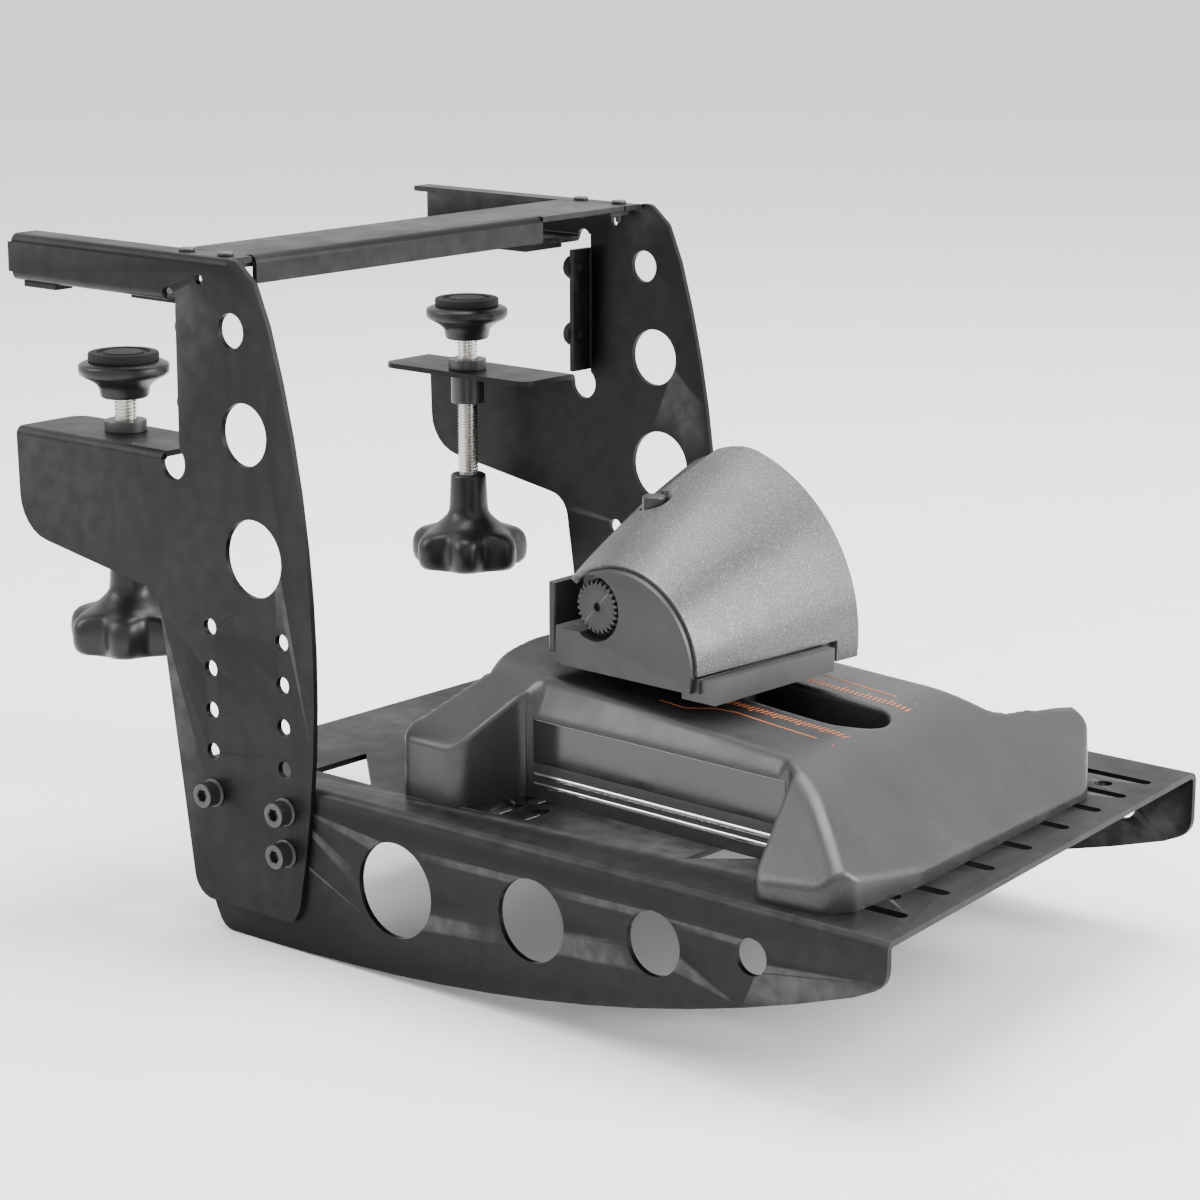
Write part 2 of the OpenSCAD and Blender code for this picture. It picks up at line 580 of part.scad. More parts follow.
// ---- carriage --------------------------------------------------------------------------------
neck_x = -16;
neck_w = slot_w - 7;
car_x = [neck_x - 16, neck_x + 16];
bush_od = rod_d + 4;
module carriage() {
    color(black) throttle_at() difference() {
        union() {
            block([car_x[0], rod_y[0] - 8, 5], [car_x[1], rod_y[1] + 8, 21]);
            block([neck_x - 4, rod_y[1] + 8, 13], [neck_x + 4, sensor_y + 3, 16]);
        }
        for (y = rod_y) translate([car_x[0] - 1, y, rod_h]) rotate([0, 90, 0])
            cylinder(d = bush_od, h = car_x[1] - car_x[0] + 2);
        for (x = [neck_x - 9, neck_x + 9]) peg([x, mid_y, 0], 4, 30);
        block([neck_x - 6, mid_y - 7, 4], [neck_x + 6, mid_y + 7, 8]);
    }
}
module rod_bushes() {
    color([0.7, 0.55, 0.25]) throttle_at() for (y = rod_y, x = [car_x[0], car_x[1] - 9])
        translate([x, y, rod_h]) rotate([0, 90, 0]) difference() {
            cylinder(d = bush_od, h = 9);
            translate([0, 0, -1]) cylinder(d = rod_d + 2*fit, h = 11);
        }
}
module friction_pad() {
    color([0.5, 0.45, 0.35]) throttle_at()
        block([neck_x - 6, mid_y - 7, floor_t + gap], [neck_x + 6, mid_y + 7, 8]);
}
grip_floor = 45;
module grip_neck() {
    color(black) throttle_at() difference() {
        union() {
            for (x = [neck_x - 13 + neck_w/2, neck_x + 13 - neck_w/2]) peg([x, mid_y, 21], neck_w, grip_floor - 21);
            block([neck_x - 13 + neck_w/2, mid_y - neck_w/2, 21],
                [neck_x + 13 - neck_w/2, mid_y + neck_w/2, grip_floor]);
        }
        for (x = [neck_x - 9, neck_x + 9]) peg([x, mid_y, 20], 4, 9);
        peg([neck_x, mid_y, 20], 9, 40);
    }
}

// ---- grip ------------------------------------------------------------------------------------
grip_y = [-54, -54 + grip_l];
grip_r = [31, 60];
grip_cx = [-18, -42];
grip_axis_h = 50;
face_y = grip_y[1] - 3;              // face of the thumb side
desk_lean = 2;
// tapering round of the palm side, shrunk by t, between two planes across the grip
module grip_round(t, y0, y1) {
    run = [grip_cx[1] - grip_cx[0], grip_l];
    len = norm(run);
    over = 12;
    rate = (grip_r[1] - grip_r[0])/len;
    intersection() {
        translate([grip_cx[0], grip_y[0], grip_axis_h]) rotate([0, 0, atan2(run[1], run[0])])
            rotate([0, 90, 0]) translate([0, 0, -over])
                cylinder(r1 = grip_r[0] - t - over*rate, r2 = grip_r[1] - t + over*rate,
                    h = len + 2*over, $fn = 96);
        block([-120, y0, grip_floor], [60, y1, 130]);
    }
}
// keeps what lies on the user's side of the leaning desk-side face
module behind_face(x) {
    intersection() {
        children();
        translate([x, 0, grip_floor]) rotate([0, desk_lean, 0]) translate([0, -90, -20]) cube([140, 200, 130]);
    }
}

dial_x = -32;
dial_h = 66.5;
dial_l = 13;
dial_y = grip_y[0] + dial_l + 2;     // back of the dial's pocket
bar_end = 10;                        // far end of the bar under the shell
shell_foot = 43;                     // lowest edge of the shell, at its far end
stick_at = [-30, 75];
hat_at = [-26, 94];
button_d = 9;
button_at = [[-8, 80], [-12, 64]];
rocker_at = [-36, 58];
finger_at = [-2, 84];
ridge_at = [-41, -14];
ridge_h = 95;
paddle_at = [-56, -18];
// room around the dial, open towards the desk and upwards
module dial_pocket() {
    translate([dial_x, dial_y, dial_h]) rotate([90, 0, 0]) cylinder(d = dial_d + 5, h = 30);
    block([-80, grip_y[0] - 9, dial_h - 9], [dial_x - 5, dial_y, dial_h + 30]);
}
module palm_shell() {
    run = [grip_cx[1] - grip_cx[0], grip_l];
    len = norm(run);
    over = 12;
    rate = (grip_r[1] - grip_r[0])/len;
    low = grip_r[0] - over*rate;
    high = grip_r[1] + over*rate;
    color([0.33, 0.33, 0.34]) throttle_at() difference() {
        intersection() {
            translate([grip_cx[0], grip_y[0], grip_axis_h]) rotate([0, 0, atan2(run[1], run[0])])
                rotate([0, 90, 0]) translate([0, 0, -over]) rotate_extrude($fn = 96) polygon([
                    [low - shell_t, 0], [low, 0], [high, len + 2*over], [high - shell_t, len + 2*over]]);
            translate([-45, 0, grip_floor]) rotate([0, desk_lean, 0]) translate([0, grip_y[0] + 2, -20])
                cube([140, grip_l - 2, 130]);
            block([-120, -90, shell_foot], [60, 60, 130]);
        }
        block([-120, -90, shell_foot - 1], [60, bar_end + 6, grip_axis_h + 0.7]);
        translate([ridge_at[0], ridge_at[1], 60]) cylinder(d = 12, h = 70);
        dial_pocket();
    }
}
module grip_body() {
    color(grey) throttle_at() difference() {
        union() {
            behind_face(-51) grip_round(shell_t, grip_y[0] + 2, face_y);
            block([-50, grip_y[0] + 2, grip_floor], [12, face_y, grip_floor + 5]);
            block([4, grip_y[0] + 3, 42], [18, bar_end, grip_floor + 4.8]);
            for (h = [grip_floor + 2, grip_floor + 22]) peg([paddle_at[0] + 3, paddle_at[1], h], 9, 3);
            for (h = [grip_floor + 2, grip_floor + 22])
                block([paddle_at[0] + 3, paddle_at[1] - 4, h], [-42, paddle_at[1] + 4, h + 3]);
        }
        // room inside
        behind_face(-42) translate([0, 0, 5]) grip_round(shell_t + 6, dial_y + 8, face_y - 12);
        // sockets of the two sticks
        for (p = [stick_at, hat_at]) translate([p[0], face_y + 1, p[1]]) rotate([90, 0, 0])
            cylinder(d = 16, h = 8);
        for (p = [stick_at, hat_at]) translate([p[0], face_y - gimbal_in, p[1]]) rotate([0, 90, 0])
            cylinder(d = 2 + 2*fit, h = 20, center = true);
        for (p = button_at) translate([p[0], face_y + 1, p[1]]) rotate([90, 0, 0])
            cylinder(d = button_d + 2*gap, h = 14);
        translate([rocker_at[0] - 5.5, face_y - 6, rocker_at[1] - 4.5]) cube([11, 7, 9]);
        translate([rocker_at[0] - 8, face_y - 3, rocker_at[1]]) rotate([0, 90, 0])
            cylinder(d = 2 + 2*fit, h = 16);
        translate([-60, finger_at[0], finger_at[1]]) rotate([0, 90, 0]) cylinder(d = button_d + 2*gap, h = 30);
        translate([ridge_at[0], ridge_at[1], ridge_h - 20]) cylinder(d = 8 + 2*gap, h = 40);
        translate([ridge_at[0], ridge_at[1], ridge_h - 6]) cylinder(d = 12, h = 40);
        // dial, its encoder and the paddle's pin
        dial_pocket();
        translate([dial_x, dial_y - 1, dial_h]) rotate([-90, 0, 0]) cylinder(d = 14, h = 7);
        peg([paddle_at[0] + 3, paddle_at[1], grip_floor], 2.5, 30);
        peg([paddle_at[0] + 3, paddle_at[1], grip_floor + 5], 9.2, 17);
    }
}
module end_plate() {
    color(grey) throttle_at() difference() {
        behind_face(-47) grip_round(1.2, grip_y[0], grip_y[0] + 2);
        dial_pocket();
    }
}
module dial_encoder() {
    color(black) throttle_at() translate([dial_x, dial_y, dial_h]) rotate([-90, 0, 0]) difference() {
        cylinder(d = 13, h = 6);
        translate([0, 0, -1]) cylinder(d = 3 + 2*fit, h = 6);
    }
}
module dial() {
    teeth = 24;
    color(grey) throttle_at() translate([dial_x, dial_y, dial_h]) rotate([90, 0, 0]) difference() {
        union() {
            translate([0, 0, gap]) cylinder(d = dial_d - 1.6, h = dial_l);
            for (i = [0:teeth - 1]) rotate([0, 0, i*360/teeth])
                translate([dial_d/2 - 1.4, -0.6, gap + 0.4]) cube([1.3, 1.2, dial_l - 0.8]);
            translate([0, 0, -4.5]) cylinder(d = 3, h = 6);
        }
        translate([0, 0, dial_l - 2]) cylinder(d = 2.8, h = 4);
    }
}

module rudder_paddle() {
    px = paddle_at[0];
    py = paddle_at[1];
    color(black) throttle_at() difference() {
        union() {
            peg([px + 3, py, grip_floor + 5 + gap], 8, 17 - 2*gap);
            translate([0, 0, grip_floor + 0.4]) linear_extrude(24) polygon(rounded([
                [px - 2, py - 28, 1.5], [px - 5.5, py - 26, 1.5], [px - 7, py, 20], [px - 5.5, py + 26, 1.5],
                [px - 2, py + 28, 1.5], [px - 3.5, py, 20]]));
            block([px - 6, py - 3, grip_floor + 5 + gap], [px + 3, py + 3, grip_floor + 22 - gap]);
        }
        peg([px + 3, py, grip_floor], 2.5 + 2*fit, 30);
    }
}
module paddle_pin() {
    color(zinc) throttle_at() peg([paddle_at[0] + 3, paddle_at[1], grip_floor + 2], 2.5, 23);
}

gimbal_in = 3.5;
// ring that tilts about the X axis, with two stub axles
module gimbal_ring(p) {
    translate([p[0], face_y - gimbal_in, p[1]]) difference() {
        union() {
            rotate([90, 0, 0]) cylinder(d = 12, h = 4, center = true);
            rotate([0, 90, 0]) cylinder(d = 2, h = 19, center = true);
        }
        rotate([90, 0, 0]) cylinder(d = 8.4, h = 5, center = true);
        cylinder(d = 1.6 + 2*fit, h = 14, center = true);
    }
}
// stalk that tilts about the Z axis inside the ring
module gimbal_stalk(p, d, reach) {
    translate([p[0], face_y - gimbal_in, p[1]]) {
        sphere(d = 5.4);
        cylinder(d = 1.6, h = 11, center = true);
        rotate([-90, 0, 0]) cylinder(d = 3.4, h = gimbal_in + reach);
        translate([0, gimbal_in + reach - 2.4, 0]) rotate([-90, 0, 0]) rotate_extrude()
            polygon([[0, 0], [d/2 - 1, 0], [d/2, 1], [d/2, 1.8], [d/2 - 1.6, 2.8], [0, 2.2]]);
    }
}
module stick_gimbal() { color(zinc) throttle_at() gimbal_ring(stick_at); }
module stick_cap() { color(black) throttle_at() gimbal_stalk(stick_at, 12, 8); }
module hat_gimbal() { color(zinc) throttle_at() gimbal_ring(hat_at); }
module hat_cap() { color(black) throttle_at() gimbal_stalk(hat_at, 10, 7); }

module push_button(p) {
    translate([p[0], face_y + 2.2, p[1]]) rotate([90, 0, 0]) {
        cylinder(d = button_d - 1, h = 0.8);
        translate([0, 0, 0.8]) cylinder(d = button_d, h = 9);
    }
}
module upper_button() { color(black) throttle_at() push_button(button_at[0]); }
module lower_button() { color(black) throttle_at() push_button(button_at[1]); }
module finger_button() {
    color(black) throttle_at() translate([-53, finger_at[0], finger_at[1]]) rotate([0, 90, 0])
        cylinder(d = button_d, h = 14);
}
module thumb_rocker() {
    color(grey) throttle_at() translate([rocker_at[0], face_y - 3, rocker_at[1]]) {
        block([-5, -1, -2.8], [5, 4.4, 2.8]);
        rotate([0, 90, 0]) cylinder(d = 2, h = 15, center = true);
    }
}
module ridge_button() {
    color(black) throttle_at() {
        peg([ridge_at[0], ridge_at[1], ridge_h - 14], 8, 16);
    }
}
module grip_board() {
    color([0.05, 0.25, 0.12]) throttle_at() block([-36, -30, grip_floor + 5], [-12, 0, grip_floor + 6.6]);
}
module grip_screws() {
    color(zinc) throttle_at() for (x = [neck_x - 9, neck_x + 9]) peg([x, mid_y, 5], 4, 24);
}

left_upright();
right_upright();
top_bridge();
bridge_screws();
platform_tray();
tray_bolts();
tray_nuts();
edge_bumpers();
arm_pads();
clamp_bushes();
left_clamp_screw();
left_clamp_knob();
left_clamp_cup();
left_clamp_pad();
right_clamp_screw();
right_clamp_knob();
right_clamp_cup();
right_clamp_pad();
base_top_shell();
base_bottom_plate();
waist_panels();
trim_strips();
base_screws();
guide_rods();
rod_blocks();
main_board();
position_sensor();
pedal_socket();
cable_gland();
tension_screw();
carriage();
rod_bushes();
friction_pad();
grip_neck();
grip_body();
palm_shell();
end_plate();
dial_encoder();
dial();
rudder_paddle();
paddle_pin();
grip_board();
stick_gimbal();
stick_cap();
hat_gimbal();
hat_cap();
upper_button();
lower_button();
finger_button();
thumb_rocker();
ridge_button();
grip_screws();
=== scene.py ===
"""Desk-clamp stand with a sliding flight throttle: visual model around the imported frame."""
import json
import logging
import math
from dataclasses import dataclass, field
from enum import Enum
from typing import Callable, Sequence

import bmesh
import bpy
import numpy as np
from mathutils import Matrix, Vector
from mathutils.geometry import delaunay_2d_cdt

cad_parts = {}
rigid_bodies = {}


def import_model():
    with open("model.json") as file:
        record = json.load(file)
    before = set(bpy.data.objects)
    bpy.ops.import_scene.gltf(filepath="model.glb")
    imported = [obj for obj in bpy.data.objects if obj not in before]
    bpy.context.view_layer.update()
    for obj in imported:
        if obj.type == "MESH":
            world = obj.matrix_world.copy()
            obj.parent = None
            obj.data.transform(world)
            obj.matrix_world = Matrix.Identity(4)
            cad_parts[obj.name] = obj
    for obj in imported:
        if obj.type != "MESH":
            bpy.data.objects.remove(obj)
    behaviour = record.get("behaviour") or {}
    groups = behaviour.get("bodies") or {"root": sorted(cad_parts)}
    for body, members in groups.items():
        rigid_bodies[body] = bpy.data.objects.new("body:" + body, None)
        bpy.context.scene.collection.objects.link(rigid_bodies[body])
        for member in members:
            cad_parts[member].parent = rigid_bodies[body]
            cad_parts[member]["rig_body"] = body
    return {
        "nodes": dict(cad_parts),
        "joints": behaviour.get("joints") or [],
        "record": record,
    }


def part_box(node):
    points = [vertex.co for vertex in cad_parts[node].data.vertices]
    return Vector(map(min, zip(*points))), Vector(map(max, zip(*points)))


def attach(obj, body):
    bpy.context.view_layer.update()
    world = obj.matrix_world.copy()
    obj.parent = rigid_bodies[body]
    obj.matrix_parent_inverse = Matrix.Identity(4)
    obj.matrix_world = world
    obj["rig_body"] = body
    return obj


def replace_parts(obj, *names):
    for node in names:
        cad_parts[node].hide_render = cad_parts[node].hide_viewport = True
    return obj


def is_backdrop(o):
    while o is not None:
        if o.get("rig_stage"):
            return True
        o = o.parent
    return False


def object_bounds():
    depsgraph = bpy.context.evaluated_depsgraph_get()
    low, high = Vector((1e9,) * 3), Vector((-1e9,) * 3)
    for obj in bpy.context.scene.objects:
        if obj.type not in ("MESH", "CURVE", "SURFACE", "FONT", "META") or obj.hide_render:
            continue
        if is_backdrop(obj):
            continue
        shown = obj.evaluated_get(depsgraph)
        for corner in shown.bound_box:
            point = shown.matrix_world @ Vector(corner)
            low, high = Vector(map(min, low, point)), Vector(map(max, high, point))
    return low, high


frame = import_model()
LOG = logging.getLogger("throttle_stand")
MM = 0.001
CAD_BOX = [list(v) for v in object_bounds()]


# ---- finishes ---------------------------------------------------------------------------------
class Surface(Enum):
    """How a finish's fine relief is laid out."""

    GRAINED = "fine moulded grain"
    SPRAYED = "orange peel of a sprayed coat"
    BRUSHED = "lines drawn along one axis"
    SMOOTH = "smooth, with faint marks"


@dataclass(frozen=True)
class Finish:
    """One procedural finish, named for what it covers."""

    name: str
    colour: tuple[float, float, float]
    roughness: float
    surface: Surface = Surface.GRAINED
    metallic: float = 0.0
    specular: float = 0.4
    variation: float = 0.18
    grain_mm: float = 0.6
    relief_mm: float = 0.02
    speckle: float = 0.0
    # How strongly convex edges are lightened towards the edge colour: a painted highlight.
    edge_highlight: float = 0.0
    coat: float = 0.0
    # Colour of the painted edge highlight.
    edge: tuple[float, float, float] = (0.2, 0.2, 0.2)

    def material(self) -> bpy.types.Material:
        """Returns this finish's material, made once."""
        found = bpy.data.materials.get(self.name)
        return found if found else FinishTree(self).build()


class FinishTree:
    """Builds the node tree of a Finish."""

    # The last of these noises breaks the painted edge highlight into patches.
    cloud, mottle, speck, rub = 38.0, 70.0, 2600.0, 160.0   # noise cells per metre
    speck_colour = (0.62, 0.62, 0.63)
    rough_swing = 0.06
    coat_roughness = 0.12
    brushed = (1, 1, 0.04)
    relief, faint_relief = 0.35, 0.12

    def __init__(self, finish: Finish) -> None:
        """Starts an empty tree.

        Args:
            finish: what the tree has to show.
        """
        self.finish = finish
        self.mat = bpy.data.materials.new(finish.name)
        self.mat.use_nodes = True
        self.nodes = self.mat.node_tree.nodes
        self.links = self.mat.node_tree.links
        self.shader = self.nodes["Principled BSDF"]

    def noise(self, scale: float, detail: float = 4.0,
              stretch: Sequence[float] = (1, 1, 1)) -> bpy.types.NodeSocket:
        """Adds noise in object space.

        Args:
            scale: cells per metre.
            detail: octaves.
            stretch: scale of each axis.

        Returns:
            The noise's value socket.
        """
        place = self.nodes.new("ShaderNodeTexCoord")
        mapping = self.nodes.new("ShaderNodeMapping")
        mapping.inputs["Scale"].default_value = stretch
        tex = self.nodes.new("ShaderNodeTexNoise")
        tex.inputs["Scale"].default_value = scale
        tex.inputs["Detail"].default_value = detail
        self.links.new(place.outputs["Object"], mapping.inputs["Vector"])
        self.links.new(mapping.outputs["Vector"], tex.inputs["Vector"])
        return tex.outputs["Fac"]

    def remap(self, value: bpy.types.NodeSocket, low: float, high: float,
              start: float = 0.3, end: float = 0.7) -> bpy.types.NodeSocket:
        """Maps start..end of a value to low..high, clamped.

        Args:
            value: the socket to map.
            low: result at start.
            high: result at end.
            start: lower input.
            end: upper input.

        Returns:
            The mapped socket.
        """
        node = self.nodes.new("ShaderNodeMapRange")
        node.inputs["From Min"].default_value = start
        node.inputs["From Max"].default_value = end
        node.inputs["To Min"].default_value = low
        node.inputs["To Max"].default_value = high
        self.links.new(value, node.inputs["Value"])
        return node.outputs["Result"]

    def mix(self, factor: bpy.types.NodeSocket, first: object, second: object) -> bpy.types.NodeSocket:
        """Mixes two colours, each a socket or an RGB triple.

        Args:
            factor: share of the second.
            first: colour at 0.
            second: colour at 1.

        Returns:
            The mixed colour socket.
        """
        node = self.nodes.new("ShaderNodeMix")
        node.data_type = "RGBA"
        self.links.new(factor, node.inputs["Factor"])
        for name, value in (("A", first), ("B", second)):
            socket = [s for s in node.inputs if s.name == name and s.type == "RGBA"][0]
            if isinstance(value, bpy.types.NodeSocket):
                self.links.new(value, socket)
            else:
                socket.default_value = (*value, 1.0)
        return [s for s in node.outputs if s.type == "RGBA"][0]

    def build(self) -> bpy.types.Material:
        """Wires colour, a painted edge highlight, roughness and relief into the shader.

        Returns:
            The finished material.
        """
        f = self.finish
        dark = tuple(c * (1 - f.variation) for c in f.colour)
        light = tuple(min(1.0, c * (1 + f.variation)) for c in f.colour)
        colour = self.mix(self.remap(self.noise(self.cloud, 5.0), 0, 1), dark, light)
        if f.speckle > 0:
            spark = self.remap(self.noise(self.speck, 2.0), 0, f.speckle, 0.56, 0.72)
            colour = self.mix(spark, colour, self.speck_colour)
        # Painted highlight: convex edges, found by pointiness, are lightened towards the edge colour in noisy
        # patches.
        if f.edge_highlight > 0:
            point = self.nodes.new("ShaderNodeNewGeometry").outputs["Pointiness"]
            rub = self.nodes.new("ShaderNodeMath")
            rub.operation = "MULTIPLY"
            self.links.new(self.remap(point, 0, f.edge_highlight, 0.53, 0.62), rub.inputs[0])
            self.links.new(self.remap(self.noise(self.rub), 0.35, 1.0), rub.inputs[1])
            colour = self.mix(rub.outputs[0], colour, f.edge)
        self.links.new(colour, self.shader.inputs["Base Color"])
        smoothest, roughest = max(0.02, f.roughness - self.rough_swing), f.roughness + self.rough_swing
        rough = self.remap(self.noise(self.mottle, 6.0), smoothest, roughest)
        self.links.new(rough, self.shader.inputs["Roughness"])
        self.shader.inputs["Metallic"].default_value = f.metallic
        self.shader.inputs["Specular IOR Level"].default_value = f.specular
        self.shader.inputs["Coat Weight"].default_value = f.coat
        self.shader.inputs["Coat Roughness"].default_value = self.coat_roughness
        stretch = self.brushed if f.surface is Surface.BRUSHED else (1, 1, 1)
        grain = self.noise(1000.0 / f.grain_mm, 3.0, stretch)
        bump = self.nodes.new("ShaderNodeBump")
        smooth = f.surface is Surface.SMOOTH
        bump.inputs["Strength"].default_value = self.faint_relief if smooth else self.relief
        bump.inputs["Distance"].default_value = f.relief_mm * MM
        self.links.new(grain, bump.inputs["Height"])
        self.links.new(bump.outputs["Normal"], self.shader.inputs["Normal"])
        return self.mat


# The edge colours and their strengths below set each finish's painted edge highlight.
FINISHES: dict[str, Finish] = {
    "powder_coat": Finish("powder_coat_black", (0.0040, 0.0028, 0.0028), 0.4, Surface.SPRAYED,
                          specular=0.13, variation=0.14, grain_mm=0.9, relief_mm=0.03, edge_highlight=0.5,
                          edge=(0.12, 0.12, 0.12)),
    "black_oxide": Finish("black_oxide_steel", (0.016, 0.016, 0.016), 0.38, Surface.SMOOTH,
                          specular=0.5, edge_highlight=0.6, edge=(0.2, 0.2, 0.2)),
    "zinc": Finish("zinc_plated_steel", (0.62, 0.60, 0.57), 0.3, Surface.BRUSHED, metallic=1.0,
                   variation=0.1, grain_mm=0.4),
    "knob_plastic": Finish("knob_plastic_black", (0.007, 0.007, 0.0072), 0.36, grain_mm=0.5,
                           relief_mm=0.02, specular=0.35),
    "rubber": Finish("rubber_black", (0.012, 0.012, 0.012), 0.75, grain_mm=0.5, relief_mm=0.05,
                     specular=0.25),
    "base_plastic": Finish("base_plastic_charcoal", (0.017, 0.017, 0.0185), 0.36, grain_mm=0.45,
                           relief_mm=0.035, specular=0.5, speckle=0.05, edge_highlight=0.35, edge=(0.2, 0.2, 0.2)),
    "gloss_panel": Finish("gloss_inlay_black", (0.008, 0.008, 0.009), 0.16, Surface.SMOOTH,
                          specular=0.5, coat=0.3),
    "trim_chrome": Finish("trim_bright", (0.75, 0.75, 0.76), 0.14, Surface.SMOOTH, metallic=1.0,
                          variation=0.05),
    "inner_plastic": Finish("inner_plastic_black", (0.012, 0.012, 0.012), 0.5, grain_mm=0.5),
    "bronze": Finish("sintered_bronze", (0.42, 0.28, 0.13), 0.45, Surface.GRAINED, metallic=0.9,
                     grain_mm=0.3),
    "board_green": Finish("circuit_board_green", (0.01, 0.09, 0.035), 0.3, Surface.SMOOTH),
    "shell_metallic": Finish("shell_paint_grey", (0.055, 0.055, 0.058), 0.36, grain_mm=0.35,
                             relief_mm=0.02, specular=0.5, metallic=0.35, speckle=0.35, edge_highlight=0.3,
                             edge=(0.3, 0.3, 0.3)),
    "grip_plastic": Finish("grip_plastic_grey", (0.013, 0.013, 0.014), 0.4, grain_mm=0.5,
                           relief_mm=0.025, specular=0.45, edge_highlight=0.3, edge=(0.15, 0.15, 0.15)),
    "dial_grey": Finish("dial_plastic_grey", (0.02, 0.02, 0.021), 0.42, grain_mm=0.4, specular=0.45,
                        edge_highlight=0.5, edge=(0.2, 0.2, 0.2)),
}
PRINT = Finish("scale_print_copper", (0.42, 0.12, 0.035), 0.5, Surface.SMOOTH, specular=0.3, variation=0.2)
FLOOR = Finish("studio_floor", (0.93, 0.93, 0.93), 0.8, Surface.SMOOTH, specular=0.1, variation=0.01)
SLOT_OF: dict[str, str] = {s["node"]: s["material_slot"] for s in frame["record"]["subparts"]}


# ---- mesh tools -------------------------------------------------------------------------------
def finish_piece(name: str, bm: bmesh.types.BMesh, slot: str, body: str, angle: float = 35.0,
                 finish: Finish | None = None) -> bpy.types.Object:
    """Turns a bmesh into a dressed piece that rides on a body.

    Args:
        name: the piece's name.
        bm: the mesh, in the row frame; it is freed.
        slot: the record's material slot.
        body: the CAD body to ride on.
        angle: edges sharper than this, in degrees, stay sharp.
        finish: a finish other than the slot's own.

    Returns:
        The new object.
    """
    mesh = bpy.data.meshes.new(name)
    bm.to_mesh(mesh)
    bm.free()
    obj = bpy.data.objects.new(name, mesh)
    bpy.context.scene.collection.objects.link(obj)
    mesh.materials.append((finish or FINISHES[slot]).material())
    mesh.shade_smooth()
    mesh.set_sharp_from_angle(angle=math.radians(angle))
    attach(obj, body)
    LOG.info("%s: %d faces on %s", name, len(mesh.polygons), body)
    return obj


def body_of(node: str) -> str:
    """Returns the CAD body that a node rides on."""
    return frame["nodes"][node]["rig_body"]


WELD = 2e-6          # metres within which CAD vertices are one
FLAT_ANGLE = 0.6     # degrees below which CAD facets are one face
SOFT_ANGLE = 30.0    # degrees above which a CAD edge is rounded


def cad_copy(node: str) -> bmesh.types.BMesh:
    """Copies a CAD node's mesh, merged and simplified.

    Args:
        node: the CAD node.

    Returns:
        The copy, in the row frame.
    """
    bm = bmesh.new()
    bm.from_mesh(frame["nodes"][node].data)
    bmesh.ops.remove_doubles(bm, verts=bm.verts, dist=WELD)
    bmesh.ops.dissolve_degenerate(bm, dist=WELD / 2, edges=bm.edges)
    bmesh.ops.dissolve_limit(bm, angle_limit=math.radians(FLAT_ANGLE), verts=bm.verts, edges=bm.edges)
    return bm


def softened(node: str, width: float) -> bpy.types.Object:
    """Replaces a CAD node by a copy whose edges catch the light.

    Args:
        node: the CAD node.
        width: edge rounding in metres.

    Returns:
        The new piece.
    """
    obj = finish_piece(f"{node}_soft", cad_copy(node), SLOT_OF[node], body_of(node), 180.0)
    mod = obj.modifiers.new("edge_round", "BEVEL")
    mod.width = width
    mod.segments = 2
    mod.limit_method = "ANGLE"
    mod.angle_limit = math.radians(SOFT_ANGLE)
    mod.harden_normals = False
    mod.use_clamp_overlap = True
    flat = obj.modifiers.new("flat_faces", "WEIGHTED_NORMAL")
    flat.mode = "FACE_AREA"
    flat.weight = 80
    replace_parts(obj, node)
    return obj


def lathe(bm: bmesh.types.BMesh, profile: Sequence[tuple[float, float]], steps: int = 64) -> None:
    """Spins an open (radius, height) profile round Z into a closed round.

    Args:
        bm: mesh that gets the round.
        profile: points in metres, from axis to axis.
        steps: steps of the full turn.
    """
    verts = [bm.verts.new((r, 0.0, z)) for r, z in profile]
    edges = [bm.edges.new(pair) for pair in zip(verts, verts[1:])]
    bmesh.ops.spin(bm, geom=verts + edges, cent=(0, 0, 0), axis=(0, 0, 1), angle=math.tau, steps=steps,
                   use_merge=True)
    bmesh.ops.remove_doubles(bm, verts=bm.verts, dist=WELD)
    bmesh.ops.recalc_face_normals(bm, faces=bm.faces)


def rings(bm: bmesh.types.BMesh, stations: Sequence[tuple[float, float, float]], teeth: int,
          shape: Callable[[float], float], per_tooth: int = 12) -> None:
    """Stacks lobed rings along Z and closes both ends.

    Args:
        bm: mesh that gets them.
        stations: (radius, height, depth of the lobes) of each ring.
        teeth: lobes round the ring.
        shape: share of the depth, 0..1, at a phase of 0..1.
        per_tooth: points of each lobe.
    """
    count = teeth * per_tooth
    ring = bmesh.ops.create_circle(bm, segments=count, radius=1.0, cap_ends=False)["verts"]
    angles = [math.atan2(v.co.y, v.co.x) for v in ring]
    edges = list({e for v in ring for e in v.link_edges})
    verts = ring
    for index, (radius, height, depth) in enumerate(stations):
        if index:
            made = bmesh.ops.extrude_edge_only(bm, edges=edges)["geom"]
            fresh = [g for g in made if isinstance(g, bmesh.types.BMVert)]
            by_angle = {round(math.atan2(v.co.y, v.co.x), 5): v for v in fresh}
            verts = [by_angle[round(a, 5)] for a in angles]
            inside = set(verts)
            edges = [g for g in made if isinstance(g, bmesh.types.BMEdge) and set(g.verts) <= inside]
        else:
            first = list(edges)
        for v, a in zip(verts, angles):
            reach = radius - depth * shape((a / math.tau * teeth) % 1.0)
            v.co = Vector((math.cos(a) * reach, math.sin(a) * reach, height))
        if index == 0:
            bmesh.ops.contextual_create(bm, geom=first)
    bmesh.ops.contextual_create(bm, geom=edges)
    bmesh.ops.recalc_face_normals(bm, faces=bm.faces)


